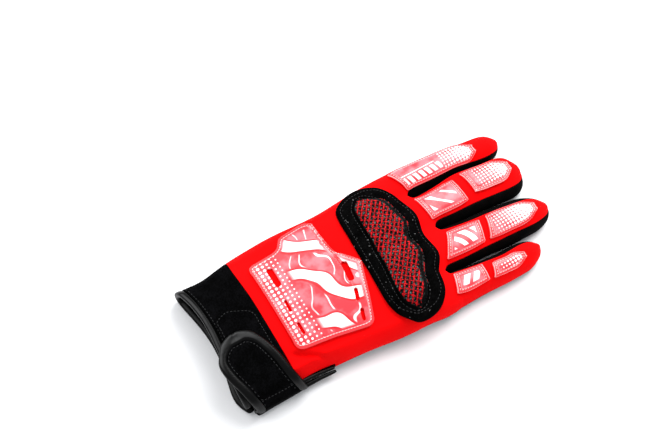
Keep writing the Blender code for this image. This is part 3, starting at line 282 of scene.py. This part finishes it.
def tape_finish(name, dark, light, shine):
    made = Recipe(name)
    place = made.place()
    ribs = made.node("TexWave", Vector=place, Scale=520.0, Distortion=1.5, Detail=1.0)
    ribs.bands_direction = "DIAGONAL"
    patchy = made.noise(place, 120.0, 2.0)
    facing = made.node("VectorMath", Vector=made.node("NewGeometry").outputs["Normal"])
    facing.operation = "DOT_PRODUCT"
    facing.inputs[1].default_value = HIGHLIGHT_WAY
    # The crown's paler grey is a painted highlight, made patchy along the tape
    highlight_patches = made.step(patchy, 0.25, 0.60, 0.6, 1.0)
    crown_highlight = made.both(made.step(facing.outputs["Value"], *HIGHLIGHT_SHARE), highlight_patches)
    colour = made.blend(crown_highlight, (dark,) * 3 + (1,), (light,) * 3 + (1,))
    made.set(Base_Color=colour, Roughness=0.34, Specular_IOR_Level=shine)
    made.bump(ribs.outputs[1], 0.00006, 0.6)
    return made


tape = tape_finish("satin_binding_tape", 0.0012, 0.048, 0.10)
dark_tape = tape_finish("dark_binding_tape", 0.0010, 0.040, 0.08)
print("tapes: on the strap and the slit, and a darker one round the mouth")

# %% [markdown]
# Threads are tiny twisted strands. At this size a plain colour with a diagonal
# twist in the bump is enough: white on the patches, near black on the cuff.

# %% Threads
DULL_SHARE = 0.86


def thread_finish(name, colour, roughness):
    made = Recipe(name)
    place = made.place()
    twist = made.node("TexWave", Vector=place, Scale=900.0, Distortion=0.5)
    twist.bands_direction = "DIAGONAL"
    dull = tuple(part * DULL_SHARE for part in colour)
    shade = made.blend(twist.outputs[1], (*dull, 1), (*colour, 1))
    made.set(Base_Color=shade, Roughness=roughness)
    made.bump(twist.outputs[1], 0.00005, 0.6)
    return made


white_thread = thread_finish("white_thread", (0.95, 0.86, 0.85), 0.55)
black_thread = thread_finish("black_thread", (0.010, 0.010, 0.011), 0.45)
print("threads: white, black")

# %% [markdown]
# Every piece starts as a copy of its solid. The copy's corners are merged, its
# triangles paired into four-sided faces, its rims creased a little and the whole
# subdivided, which rounds the cut edges as folded cloth is round. The solid itself
# is hidden, and stays for collision.

# %% Helpers for dressing a solid
SHARP = math.radians(50)
HOLD_ROUNDS, HOLD_SHARE = 4, 0.8
LEAST_SHARE = 0.004
CALM_FACTOR = 0.7


def pick(piece):
    bpy.ops.object.select_all(action="DESELECT")
    piece.select_set(True)
    bpy.context.view_layer.objects.active = piece


def apply_modifiers(piece):
    pick(piece)
    for modifier in list(piece.modifiers):
        bpy.ops.object.modifier_apply(modifier=modifier.name)


def copy_solid(node, name, crease):
    """A copy of a solid with joined corners, four-sided faces and creased rims."""
    piece = bpy.data.objects.new(name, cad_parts[node].data.copy())
    bpy.context.scene.collection.objects.link(piece)
    piece.data.materials.clear()
    pick(piece)
    bpy.ops.mesh.customdata_custom_splitnormals_clear()
    bpy.ops.object.mode_set(mode="EDIT")
    bpy.ops.mesh.select_mode(type="EDGE")
    bpy.ops.mesh.select_all(action="SELECT")
    bpy.ops.mesh.remove_doubles(threshold=1e-6)
    bpy.ops.mesh.tris_convert_to_quads(
        face_threshold=math.radians(35), shape_threshold=math.radians(60))
    bpy.ops.mesh.select_all(action="DESELECT")
    bpy.ops.mesh.edges_select_sharp(sharpness=SHARP)
    bpy.ops.transform.edge_crease(value=crease)
    bpy.ops.mesh.select_all(action="DESELECT")
    bpy.ops.object.mode_set(mode="OBJECT")
    return piece


def hold_shape(piece):
    """Pushes the cage out until the smooth skin passes through the solid's corners."""
    cage = piece.data
    goal = np.empty(3 * len(cage.vertices))
    cage.vertices.foreach_get("co", goal)
    trial = piece.modifiers.new("trial", "SUBSURF")
    trial.levels = 1
    now = goal.copy()
    for _ in range(HOLD_ROUNDS):
        bpy.context.view_layer.update()
        seen = piece.evaluated_get(bpy.context.evaluated_depsgraph_get())
        smooth = seen.to_mesh()
        found = np.empty(3 * len(smooth.vertices))
        smooth.vertices.foreach_get("co", found)
        seen.to_mesh_clear()
        now += HOLD_SHARE * (goal - found[: len(goal)])
        cage.vertices.foreach_set("co", now)
        cage.update()
    piece.modifiers.remove(trial)


def soften(piece, levels, hold=True):
    if hold:
        hold_shape(piece)
    made = piece.modifiers.new("soften", "SUBSURF")
    made.levels = made.render_levels = levels
    apply_modifiers(piece)
    bpy.ops.object.shade_smooth()


def dress(piece, node, recipe):
    """Gives the piece its finish and its place on the part, and hides its solid."""
    piece.data.materials.clear()
    piece.data.materials.append(recipe.material)
    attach(piece, "root")
    if node:
        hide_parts(node)
    return piece


def triangles(piece):
    return sum(len(face.vertices) - 2 for face in piece.data.polygons)


def points_of(piece):
    found = np.empty(3 * len(piece.data.vertices))
    piece.data.vertices.foreach_get("co", found)
    return found.reshape(-1, 3)


def everywhere(piece):
    return np.ones(len(piece.data.vertices))


def shift(piece, by):
    """Moves a whole piece in edit mode, so that its object stays at the origin."""
    pick(piece)
    bpy.ops.object.mode_set(mode="EDIT")
    bpy.ops.mesh.select_all(action="SELECT")
    bpy.ops.transform.translate(value=by)
    bpy.ops.object.mode_set(mode="OBJECT")


def modifier_by(piece, name, kind, shares):
    """A modifier that works at each point of a piece by that point's share."""
    group = piece.vertex_groups.new(name=name)
    for number, share in enumerate(shares):
        if share > LEAST_SHARE:
            group.add([number], float(min(1.0, share)), "REPLACE")
    made = piece.modifiers.new(name, kind)
    made.vertex_group = group.name
    return made


def lift_by(piece, shares, height, direction="NORMAL"):
    """Displaces a piece by a share of one height at each point."""
    made = modifier_by(piece, "relief", "DISPLACE", shares)
    made.direction = direction
    made.mid_level = 0.0
    made.strength = height
    apply_modifiers(piece)
    piece.vertex_groups.clear()


def calm(piece, shares, rounds, plan=False):
    """Evens out a piece's heights, or its plan, where shares is above 0."""
    made = modifier_by(piece, "calm", "SMOOTH", shares)
    made.use_x = made.use_y = plan
    made.use_z = not plan
    made.factor, made.iterations = CALM_FACTOR, rounds
    apply_modifiers(piece)
    piece.vertex_groups.clear()


print("dressing helpers ready")

# %% [markdown]
# Print, rims and stitches all follow a patch's outline. The outline is read from the
# solid: it is the border of the faces that look up. Each point of the smooth piece
# then stores how far it lies along the patch, across it and in from that border. The
# stitches are copies of one small ball, pulled long, and follow the same outline.

# %% Helpers that measure from an outline
# Columns: finish, pitch, then half the length, width and height of one stitch
WHITE_STITCHING = (white_thread, 2.0 * MM, (0.78 * MM, 0.20 * MM, 0.17 * MM))
BLACK_STITCHING = (black_thread, 2.3 * MM, (0.85 * MM, 0.17 * MM, 0.14 * MM))
STITCH_SIDES, STITCH_RINGS = 8, 4
STITCH_TRIANGLES = 2 * STITCH_SIDES * (STITCH_RINGS - 1)
STITCH_PROUD = 0.3
CORNER_SHARE = 0.86
SIDE_ANGLE = math.radians(50.0)
LOOP_PARTS = 6
FULL_LIFT = 0.3


def smooth_loop(points, parts):
    """Points on a closed curve that passes smoothly through the given ones."""
    found = []
    for i in range(len(points)):
        a, b, c, d = (points[(i + k) % len(points)] for k in (-1, 0, 1, 2))
        for t in (part / parts for part in range(parts)):
            bend = (2 * a - 5 * b + 4 * c - d) * t * t + (3 * b - a - 3 * c + d) * t**3
            found.append((2 * b + (c - a) * t + bend) / 2)
    return found


def round_loop(points, rounds):
    for _ in range(rounds):
        nexts = points[1:] + points[:1]
        points = [(points[i - 1] + 2 * points[i] + nexts[i]) / 4 for i in range(len(points))]
    return points


def tree_of(points):
    tree = KDTree(len(points))
    for number, point in enumerate(points):
        tree.insert(point, number)
    tree.balance()
    return tree


def loop_length(points):
    return sum((b - a).length for a, b in zip(points, points[1:] + points[:1]))


def rims(piece):
    """Outlines of a piece's upper side, the longest first, with the cloth on their left."""
    mesh = bmesh.new()
    mesh.from_mesh(piece.data)
    mesh.faces.ensure_lookup_table()
    start = max(mesh.faces, key=lambda face: face.calc_center_median().z)
    upper, queue = {start}, [start]
    while queue:
        for edge in queue.pop().edges:
            if len(edge.link_faces) == 2 and edge.calc_face_angle() < SIDE_ANGLE:
                fresh = set(edge.link_faces) - upper
                upper |= fresh
                queue += fresh
    onward = {}
    for face in sorted(upper, key=lambda face: face.index):
        for corner in face.loops:
            if any(other not in upper for other in corner.edge.link_faces):
                onward[corner.vert.index] = corner.link_loop_next.vert.index
    mesh.verts.ensure_lookup_table()
    places = {index: mesh.verts[index].co.copy() for index in onward}
    mesh.free()
    loops = []
    while onward:
        first = next(iter(onward))
        loop, here = [], first
        while here in onward:
            loop.append(places[here])
            here = onward.pop(here)
        loops.append(smooth_loop(loop, LOOP_PARTS))
    return sorted(loops, key=loop_length, reverse=True)


def upward(piece):
    """How much each point of the piece looks up, from 0 to 1."""
    found = np.empty(3 * len(piece.data.vertices))
    piece.data.vertices.foreach_get("normal", found)
    return np.clip(found.reshape(-1, 3)[:, 2] / FULL_LIFT, 0.0, 1.0)


def store(piece, values):
    layer = piece.data.attributes.new("lay", "FLOAT_VECTOR", "POINT")
    layer.data.foreach_set("vector", np.asarray(values, dtype=float).ravel())


def measure(piece, outline):
    """Stores along, across and from the edge at every point, and returns the last."""
    tree = tree_of(outline)
    spots = points_of(piece)
    edge = np.array([tree.find(spot)[2] for spot in spots])
    along = spots[:, 0] - min(point.x for point in outline)
    across = spots[:, 1] - sum(point.y for point in outline) / len(outline)
    store(piece, np.stack((along, across, edge), axis=1))
    return edge


def sew(name, piece, outline, inset, stitching, keep=lambda spot: True):
    """A row of stitches at one distance inside an outline, set down on the piece."""
    recipe, pitch, half = stitching
    path = []
    befores, afters = outline[-1:] + outline[:-1], outline[1:] + outline[:1]
    for before, here, after in zip(befores, outline, afters):
        run = (after - before).to_2d()
        if run.length > 0:
            run.normalize()
            path.append(Vector((here.x - run.y * inset, here.y + run.x * inset)))
    border = tree_of([(point.x, point.y, 0.0) for point in outline])
    least = CORNER_SHARE * inset
    path = [spot for spot in path if border.find((*spot, 0.0))[2] > least and keep(spot)]
    mesh = piece.data
    ground = BVHTree.FromPolygons([v.co for v in mesh.vertices], [p.vertices for p in mesh.polygons])
    bpy.ops.object.select_all(action="DESELECT")
    bpy.ops.mesh.primitive_uv_sphere_add(
        segments=STITCH_SIDES, ring_count=STITCH_RINGS, radius=1.0)
    stitch = bpy.context.active_object
    bpy.ops.object.shade_smooth()
    made, left = [], 0.0
    for first, second in zip(path, path[1:] + path[:1]):
        length = (second - first).length
        while length > 0 and left <= length:
            spot = first.lerp(second, left / length)
            hit, normal, _, _ = ground.ray_cast(Vector((*spot, 0.2)), Vector((0, 0, -1)))
            left += pitch
            if hit is None or length > 3 * pitch:
                continue
            along = Vector((*(second - first), 0.0))
            along = (along - normal * along.dot(normal)).normalized()
            turn = Matrix((along, normal.cross(along), normal)).transposed().to_4x4()
            copy = bpy.data.objects.new(name, stitch.data.copy())
            place = Matrix.Translation(hit + normal * half[2] * STITCH_PROUD)
            copy.matrix_world = place @ turn @ Matrix.Diagonal((*half, 1.0))
            bpy.context.scene.collection.objects.link(copy)
            made.append(copy)
        left -= length
    bpy.data.objects.remove(stitch)
    bpy.ops.object.select_all(action="DESELECT")
    for copy in made:
        copy.select_set(True)
    bpy.context.view_layer.objects.active = made[0]
    bpy.ops.object.join()
    row = bpy.context.active_object
    row.name = name
    bpy.ops.object.transform_apply(location=True, rotation=True, scale=True)
    return dress(row, None, recipe)


def dome(piece, loops, height):
    """Raises a band between two outlines into a low arch."""
    trees = [tree_of(loop) for loop in loops[:2]]
    gaps = np.array([[tree.find(spot)[2] for tree in trees] for spot in points_of(piece)])
    lift_by(piece, 4 * gaps.prod(axis=1) / gaps.sum(axis=1) ** 2 * upward(piece), height)


print("outline helpers ready")

# %% [markdown]
# The large cloth panels: the red back, the black palm, the strips between the
# fingers, the thumb folded under the palm and the two halves of the cuff. Real
# cloth is never quite even, so a slow, shallow ripple is laid over each of them. The
# tape round the strap is folded over its edge, and so it stands up in a low arch.

# %% Large cloth panels
ripple = bpy.data.textures.new("slow_ripple", "CLOUDS")
ripple.noise_scale = 0.022
ripple.noise_depth = 1
ROUND_ONES = ("mouth_binding", "slit_binding_back", "slit_binding_palm")
ARCH_HEIGHT = 0.9 * MM
# Columns: node, finish, slot, levels, crease, ripple in mm
PANELS = (
    ("back_panel", red_cloth, "red_cloth", 3, 0.6, 0.4),
    ("palm_panel", palm_leather, "black_palm", 2, 0.6, 0.1),
    ("thumb", palm_leather, "black_palm", 2, 0.5, 0.1),
    ("fourchette_index_middle", side_cloth, "black_side_cloth", 2, 0.5, 0.4),
    ("fourchette_middle_ring", side_cloth, "black_side_cloth", 2, 0.5, 0.4),
    ("fourchette_ring_little", side_cloth, "black_side_cloth", 2, 0.5, 0.4),
    ("cuff_back", looped_pile, "black_neoprene", 3, 0.6, 0.5),
    ("cuff_palm", looped_pile, "black_neoprene", 3, 0.6, 0.1),
    ("mouth_binding", dark_tape, "binding_tape", 3, 0.0, 0.2),
    ("slit_binding_back", tape, "binding_tape", 3, 0.0, 0.1),
    ("slit_binding_palm", tape, "binding_tape", 3, 0.0, 0.1),
    ("strap_binding", tape, "binding_tape", 3, 0.25, 0.2),
)
pieces = {}
for node, recipe, slot, levels, crease, wave in PANELS:
    piece = copy_solid(node, node + "_cloth", crease)
    loops = rims(piece) if node == "strap_binding" else None
    soften(piece, levels, node not in ROUND_ONES)
    if loops:
        dome(piece, loops, ARCH_HEIGHT)
    made = piece.modifiers.new("ripple", "DISPLACE")
    made.texture = ripple
    made.texture_coords = "LOCAL"
    made.direction = "NORMAL"
    made.strength = wave * MM
    apply_modifiers(piece)
    pieces[node] = dress(piece, node, recipe)
    print(piece.name, triangles(piece), "triangles")

# %% [markdown]
# Three places need more work on top of that. The two pipings of the slit are pulled
# out of the side, as the cuff's slack pushes them there. A crease in the red cloth
# runs from the patch to the slit, where the strap pulls. The tape round the mouth is
# filled out a little.

# %% Pipings, crease and mouth
PIPING_PULL = {
    "slit_binding_back": (0.0, -1.9 * MM, 0.4 * MM),
    "slit_binding_palm": (0.0, -2.8 * MM, -0.4 * MM),
}
PIPING_GROWTH, MOUTH_GROWTH = 0.50 * MM, 0.55 * MM
SLIT_END = (-61.0 * MM, -43.0 * MM, 5.0 * MM)
SLIT_GAPE = math.radians(1.7)
CREASE = ((-80.5 * MM, -28.0 * MM), (-64.0 * MM, -38.5 * MM))
CREASE_LEAST_HEIGHT = 12.0 * MM
# Columns: distance to the side, half width, height
FOLDS = ((0.0, 1.3 * MM, -1.9 * MM), (3.2 * MM, 2.0 * MM, 0.9 * MM))
for node, pull in PIPING_PULL.items():
    shift(pieces[node], pull)
    lift_by(pieces[node], everywhere(pieces[node]), PIPING_GROWTH)
pick(pieces["slit_binding_palm"])
bpy.ops.object.mode_set(mode="EDIT")
bpy.ops.transform.rotate(value=-SLIT_GAPE, orient_axis="Z", center_override=SLIT_END)
bpy.ops.object.mode_set(mode="OBJECT")
lift_by(pieces["mouth_binding"], everywhere(pieces["mouth_binding"]), MOUTH_GROWTH)
spots = points_of(pieces["back_panel"])
start, run = np.array(CREASE[0]), np.array(CREASE[1]) - np.array(CREASE[0])
share = (spots[:, :2] - start) @ run / (run @ run)
aside = ((spots[:, :2] - start) @ np.array((-run[1], run[0]))) / math.sqrt(run @ run)
ends = np.exp(-np.clip(np.abs(share - 0.5) - 0.35, 0.0, None) ** 2 / 0.03)
upper = ends * (spots[:, 2] > CREASE_LEAST_HEIGHT)
for side, half, height in FOLDS:
    lift_by(pieces["back_panel"], upper * np.exp(-(((aside - side) / half) ** 2)), height, "Z")
print("pipings pulled out, crease pressed in")

# %% [markdown]
# The patches are soft clear vinyl over a printed film: salmon pink with a glossy
# face. Lighter pink clouds laid at random over the salmon are partly the film's own
# uneven tone and partly painted highlight haze. White halftone dots grow or shrink
# along the patch, as a screen printer fades one colour into another. The rest of each
# print is made of plain bands, bars, arcs and dots, and stands for no picture or sign.

# %% Vinyl print
WHITE = (1.0, 0.93, 0.93, 1)
SALMON = (0.86, 0.040, 0.055, 1)
PINK_HAZE = (0.98, 0.18, 0.21, 1)
DEEP = (0.70, 0.008, 0.012, 1)
RIM = (0.88, 0.040, 0.048, 1)
THREAD = (0.98, 0.36, 0.37, 1)


def vinyl(name, draw):
    """A patch finish: draw returns how white and how deep the print is at each place."""
    made = Recipe(name)
    along, across, edge = made.marks()
    place = made.place()
    # Lighter pink clouds: partly uneven tone, partly painted highlight haze
    cloud = made.step(made.noise(place, 95.0, 3.0), 0.40, 0.66)
    base = made.blend(cloud, SALMON, PINK_HAZE)
    white, line = draw(made, place, along, across, edge)
    base = made.blend(line, base, DEEP)
    base = made.blend(white, base, WHITE)
    hem = made.step(edge, 2.35 * MM, 2.55 * MM, 1.0, 0.0)
    base = made.blend(hem, base, RIM)
    base = made.blend(made.inside(edge, 2.45 * MM, 2.75 * MM, 0.10 * MM), base, THREAD)
    base = made.blend(made.step(edge, 0.35 * MM, 0.50 * MM, 1.0, 0.0), base, THREAD)
    made.set(Base_Color=base, Roughness=0.28, Specular_IOR_Level=0.30)
    made.set(Coat_Weight=0.20, Coat_Roughness=0.12)
    soft = made.noise(place, 60.0, 2.0)
    made.bump(made.sum("ADD", soft, made.sum("MULTIPLY", white, 0.12)), 0.0006, 0.35)
    return made


def draw_flow(made, place, along, across, edge):
    """Dots on the cuff's side that shrink inward, then winding bands of cloud and white."""
    radius = made.step(along, 2.0 * MM, 20.0 * MM, 1.08 * MM, 0.55 * MM)
    dots = made.dots(along, across, (3.25 * MM, 3.05 * MM), radius)
    dots = made.both(dots, made.step(along, 17.5 * MM, 19.5 * MM, 1.0, 0.0))
    flow = made.node(
        "TexWave", Vector=place, Scale=21.0, Distortion=5.5, Detail=1.0, Detail_Scale=1.3)
    flow.bands_direction = "DIAGONAL"
    inner = made.both(made.step(along, 19.0 * MM, 23.0 * MM), made.step(edge, 3.4 * MM, 5.2 * MM))
    bands = made.both(made.step(flow.outputs[1], 0.66, 0.71), inner)
    line = made.both(made.inside(flow.outputs[1], 0.50, 0.66, 0.06), inner, 0.85)
    thin = made.node(
        "TexWave", Vector=place, Scale=34.0, Distortion=11.0, Detail=1.0, Detail_Scale=1.2)
    between = made.step(flow.outputs[1], 0.30, 0.45, 1.0, 0.0)
    streak = made.both(made.step(thin.outputs[1], 0.955, 0.985), inner, between)
    bands = made.either(bands, made.both(streak, 0.8))
    return made.either(made.both(dots, made.step(edge, 2.6 * MM, 2.9 * MM)), bands), line


def draw_dots(made, place, along, across, edge):
    """Dots that grow toward the fingertip until they nearly touch."""
    radius = made.step(along, 5.0 * MM, 32.0 * MM, 0.50 * MM, 1.14 * MM)
    dots = made.dots(along, across, (2.35 * MM, 2.2 * MM), radius)
    dots = made.both(dots, made.step(along, 6.0 * MM, 6.5 * MM))
    return made.both(dots, made.step(edge, 2.4 * MM, 2.6 * MM)), 0.0


def draw_blocks(made, place, along, across, edge):
    """A row of slanted blocks, then dots that grow toward the fingertip."""
    slant = made.sum("MULTIPLY", across, 90.0)
    share = made.sum("FRACT", made.sum("ADD", made.sum("DIVIDE", along, 4.6 * MM), slant))
    blocks = made.both(
        made.inside(share, 0.16, 0.78, 0.04),
        made.inside(along, 7.0 * MM, 37.0 * MM, 0.2 * MM),
        made.inside(across, -4.6 * MM, 0.4 * MM, 0.15 * MM))
    bar = made.both(
        made.inside(across, 1.6 * MM, 2.3 * MM, 0.12 * MM),
        made.inside(along, 6.0 * MM, 33.0 * MM, 0.3 * MM))
    radius = made.step(along, 32.0 * MM, 62.0 * MM, 0.58 * MM, 1.12 * MM)
    dots = made.dots(along, across, (2.35 * MM, 2.15 * MM), radius)
    dots = made.both(dots, made.step(along, 37.0 * MM, 39.0 * MM))
    found = made.either(made.either(blocks, made.both(bar, 0.8)), dots)
    return made.both(found, made.step(edge, 2.6 * MM, 2.9 * MM)), 0.0


def draw_bars(turn, pitch):
    """Slanted bars of two widths across a base patch."""
    def draw(made, place, along, across, edge):
        line, cross = made.turned(along, across, turn)
        share = made.sum("FRACT", made.sum("DIVIDE", line, pitch))
        wide = made.step(cross, -0.012, 0.004, 0.20, 0.62)
        bars = made.step(made.sum("SUBTRACT", wide, share), -0.03, 0.03)
        return made.both(bars, made.step(edge, 4.0 * MM, 4.4 * MM)), 0.0
    return draw


def draw_arcs(middle, pitch):
    """Rings round one corner of a base patch, thicker outward."""
    def draw(made, place, along, across, edge):
        right = made.sum("SUBTRACT", along, middle[0])
        up = made.sum("SUBTRACT", across, middle[1])
        away = made.length(right, up)
        share = made.sum("FRACT", made.sum("DIVIDE", away, pitch))
        wide = made.step(away, 0.004, 0.024, 0.25, 0.62)
        rings = made.step(made.sum("SUBTRACT", wide, share), -0.03, 0.03)
        return made.both(rings, made.step(edge, 4.0 * MM, 4.4 * MM)), 0.0
    return draw


print("print drawings: flow, dots, blocks, bars, arcs")

# %% [markdown]
# Each patch is pressed down along its stitches, so it has a low channel near its
# border, a raised welded rim and a slightly puffed middle. White thread runs in
# the channel all round, in short stitches of equal length. Three of the finger
# patches are set a little nearer to where the photograph shows them.

# %% Patches on the back and the fingers
# Columns: node, drawing, levels
PATCHES = (
    ("hand_patch", draw_flow, 3),
    ("index_patch", draw_blocks, 4),
    ("middle_base_patch", draw_bars(0.9, 7.5 * MM), 4),
    ("middle_tip_patch", draw_dots, 4),
    ("ring_base_patch", draw_arcs((2.0 * MM, -9.0 * MM), 6.5 * MM), 4),
    ("ring_tip_patch", draw_dots, 4),
    ("little_base_patch", draw_bars(-0.7, 6.0 * MM), 4),
    ("little_tip_patch", draw_dots, 4),
)
NOTCH = (-24.8 * MM, 17.3 * MM)
NOTCH_PULL, NOTCH_REACH = 1.3 * MM, 5.0 * MM
SEAM_INSET = 1.55 * MM
PUFF_HEIGHT = 0.35 * MM
PATCH_SHIFT = {
    "middle_tip_patch": (1.7 * MM, -0.5 * MM, -0.05 * MM),
    "little_tip_patch": (1.6 * MM, -0.4 * MM, -0.05 * MM),
    "middle_base_patch": (-0.5 * MM, -0.6 * MM, 0.0),
}
patch_parts = {}


def ease_notch(point):
    """Draws the outline in at the patch's inward corner, as the softened piece is."""
    away = (point.to_2d() - Vector(NOTCH)).length
    pull = NOTCH_PULL * math.exp(-((away / NOTCH_REACH) ** 2))
    return point + Vector((0.6 * pull, 0.8 * pull, 0.0))


for node, draw, levels in PATCHES:
    piece = copy_solid(node, node + "_vinyl", 1.0 if node == "hand_patch" else 0.35)
    if node in PATCH_SHIFT:
        shift(piece, PATCH_SHIFT[node])
    outline = rims(piece)[0]
    soften(piece, levels)
    if node == "hand_patch":
        away = np.hypot(*(points_of(piece)[:, :2] - NOTCH).T)
        calm(piece, np.clip(1.6 - away / (8.0 * MM), 0.0, 1.0), 60, True)
        outline = [ease_notch(point) for point in outline]
    else:
        calm(piece, everywhere(piece), 36, True)
        tip = points_of(piece)[:, 0].max() + 0.05 * MM
        while max(point.x for point in outline) > tip:
            outline = round_loop(outline, 2)
    edge = measure(piece, outline)
    calm(piece, np.clip((edge - 1.0 * MM) / MM, 0.0, 1.0), 24)
    rim = np.exp(-((edge - 0.35 * MM) / (0.35 * MM)) ** 2)
    middle = np.clip((edge - 2.2 * MM) / (1.6 * MM), 0.0, 1.0)
    relief = 0.75 * rim + 0.9 * middle * middle * (3 - 2 * middle)
    lift_by(piece, relief * upward(piece), PUFF_HEIGHT, "Z")
    dress(piece, node, vinyl(node + "_print", draw))
    thread = sew(node + "_stitches", piece, outline, SEAM_INSET, WHITE_STITCHING)
    pieces[node], patch_parts[node] = piece, [thread]
    stitches = triangles(thread) // STITCH_TRIANGLES
    print(piece.name, triangles(piece), "triangles, stitches", stitches)

# %% [markdown]
# The knuckle guard is foam under a coarse red net. The net is a real relief: two
# sets of strands cross at a slant, and the gaps between them sink to the dark foam,
# where a little light comes back grey green.

# %% Knuckle guard
NET_TURN = math.radians(-39.0)
NET_PITCH = (2.75 * MM, 2.95 * MM)
NET_DEPTH = 0.75 * MM
NET_HEMS = (2.6 * MM, 0.9 * MM)
FOAM = (0.0012, 0.0012, 0.0012, 1)
FOAM_GLINT = (0.09, 0.13, 0.125, 1)
STRAND_DARK, STRAND_RED = (0.15, 0.002, 0.003, 1), (0.70, 0.010, 0.016, 1)
net = Recipe("red_net_on_black_foam")
open_share, _, strand = net.marks()
place = net.place()
glint = net.step(net.noise(place, 700.0, 2.0), 0.50, 0.62)
glint = net.both(glint, open_share, net.step(strand, 0.22, 0.40, 1.0, 0.20))
fibre = net.noise(place, 1300.0, 2.0)
yarn = net.blend(net.step(fibre, 0.42, 0.62), STRAND_DARK, STRAND_RED)
colour = net.blend(net.step(strand, 0.52, 0.68), net.blend(glint, FOAM, FOAM_GLINT), yarn)
net.set(Base_Color=colour, Roughness=0.65, Specular_IOR_Level=0.05)
net.bump(fibre, 0.00008, 0.6)
guard = copy_solid("knuckle_guard", "knuckle_guard_net", 0.3)
border = rims(guard)[0]
soften(guard, 4)
spots = points_of(guard)
tree = tree_of([(point.x, point.y, 0.0) for point in border])
nearest = [tree.find((x, y, 0.0)) for x, y, _ in spots]
hem = np.array([NET_HEMS[0 if spot[0].x > x else 1] for spot, x in zip(nearest, spots[:, 0])])
shown = np.clip(np.array([spot[2] for spot in nearest]) / hem - 0.4, 0.0, 0.6) / 0.6
u = (spots[:, 0] * math.cos(NET_TURN) + spots[:, 1] * math.sin(NET_TURN)) / NET_PITCH[0]
v = (spots[:, 1] * math.cos(NET_TURN) - spots[:, 0] * math.sin(NET_TURN)) / NET_PITCH[1]
first, second = np.cos(math.pi * u) ** 2, np.cos(math.pi * v) ** 2
over = 0.10 * np.cos(math.pi * u) * np.cos(math.pi * v)
strands = np.clip(np.maximum(first, 0.80 * second) + over - 0.12, 0.0, 1.0) * shown
store(guard, np.stack((shown, np.zeros_like(shown), strands), axis=1))
lift_by(guard, strands * upward(guard), NET_DEPTH)
pieces["knuckle_guard"] = dress(guard, "knuckle_guard", net)
print(guard.name, triangles(guard), "triangles")

# %% [markdown]
# Black pieces that are sewn on: the padded ring round the guard, the strap and the
# loop pad that it grips. Their stitches glint, and the ring's nap has tiny painted
# glints of its own. A row of the same stitches holds the tape along the mouth, on the
# back of the cuff.

# %% Ring, strap and loop pad
# Columns: node, finish, slot, levels, crease, stitch insets in mm
SEWN = (
    ("knuckle_surround", napped_suede, "black_suede", 3, 0.2, (2.2, 1.6)),
    ("strap", looped_pile, "black_neoprene", 3, 0.6, (1.7,)),
    ("loop_pad", looped_pile, "black_neoprene", 3, 0.7, (1.4,)),
)
MOUTH_INSET = 1.2 * MM
MOUTH_SEAM_END = -109 * MM
RING_GROWTH = 0.5 * MM
trial = copy_solid("cuff_back", "cuff_trial", 0.6)
mouth_rim = rims(trial)[0]
bpy.data.objects.remove(trial)
patch_parts["cuff_back"] = [sew(
    "cuff_back_stitches", pieces["cuff_back"], mouth_rim, MOUTH_INSET, BLACK_STITCHING,
    lambda spot: spot.x < MOUTH_SEAM_END)]
for node, recipe, slot, levels, crease, insets in SEWN:
    piece = copy_solid(node, node + "_cloth", crease)
    loops = rims(piece)
    soften(piece, levels)
    if node == "knuckle_surround":
        lift_by(piece, everywhere(piece), RING_GROWTH)
    dress(piece, node, recipe)
    rows = []
    for number, (loop, inset) in enumerate(zip(loops, insets)):
        name = f"{node}_stitches_{number}"
        rows.append(sew(name, piece, loop, inset * MM, BLACK_STITCHING))
    pieces[node], patch_parts[node] = piece, rows
    print(piece.name, triangles(piece), "triangles, rows of stitches", len(rows))

# %% [markdown]
# A glove that is worn in isn't as straight as its pattern. A coarse lattice round
# the whole glove lets it sag a little: the little finger's side spreads on the
# table, the fingers turn toward it and the cuff opens at its corner.

# %% Let the whole glove sag
CAGE_SIZE = (0.260, 0.120, 0.045)
CAGE_MIDDLE_HEIGHT = 0.0175
CAGE_POINTS = (14, 13, 2)


def rise(value, low, high):
    t = min(1.0, max(0.0, (value - low) / (high - low)))
    return t * t * (3 - 2 * t)


def sag(x, y):
    """How far a place of the glove moves, all in millimetres."""
    side = rise(-y, 33, 53) if x > -75 else rise(-y, 20, 44)
    fingers = rise(x, 25, 45)
    spread = -2.9 * side * (1.0 - fingers)
    turn = -(1.8 * fingers + 0.8 * rise(x, 75, 115)) * rise(-y, -4, 12)
    corner = rise(-x, 65, 95) * rise(y, 10, 48)
    return -2.2 * corner + 1.0 * rise(x, 60, 120), spread + turn + 1.8 * corner


bpy.ops.object.select_all(action="DESELECT")
bpy.ops.object.add(type="LATTICE", location=(0, 0, CAGE_MIDDLE_HEIGHT))
cage = bpy.context.active_object
cage.scale = CAGE_SIZE
cage.data.points_u, cage.data.points_v, cage.data.points_w = CAGE_POINTS
cage.data.interpolation_type_u = cage.data.interpolation_type_v = "KEY_CATMULL_ROM"
wide, deep = CAGE_SIZE[0] / MM, CAGE_SIZE[1] / MM
for point in cage.data.points:
    right, up = sag(point.co.x * wide, point.co.y * deep)
    point.co_deform = point.co_deform + Vector((right / wide, up / deep, 0.0))
stitch_rows = [row for rows in patch_parts.values() for row in rows]
for piece in list(pieces.values()) + stitch_rows:
    made = piece.modifiers.new("sag", "LATTICE")
    made.object = cage
    apply_modifiers(piece)
bpy.data.objects.remove(cage)
print("sagged:", len(pieces), "pieces and their stitches")
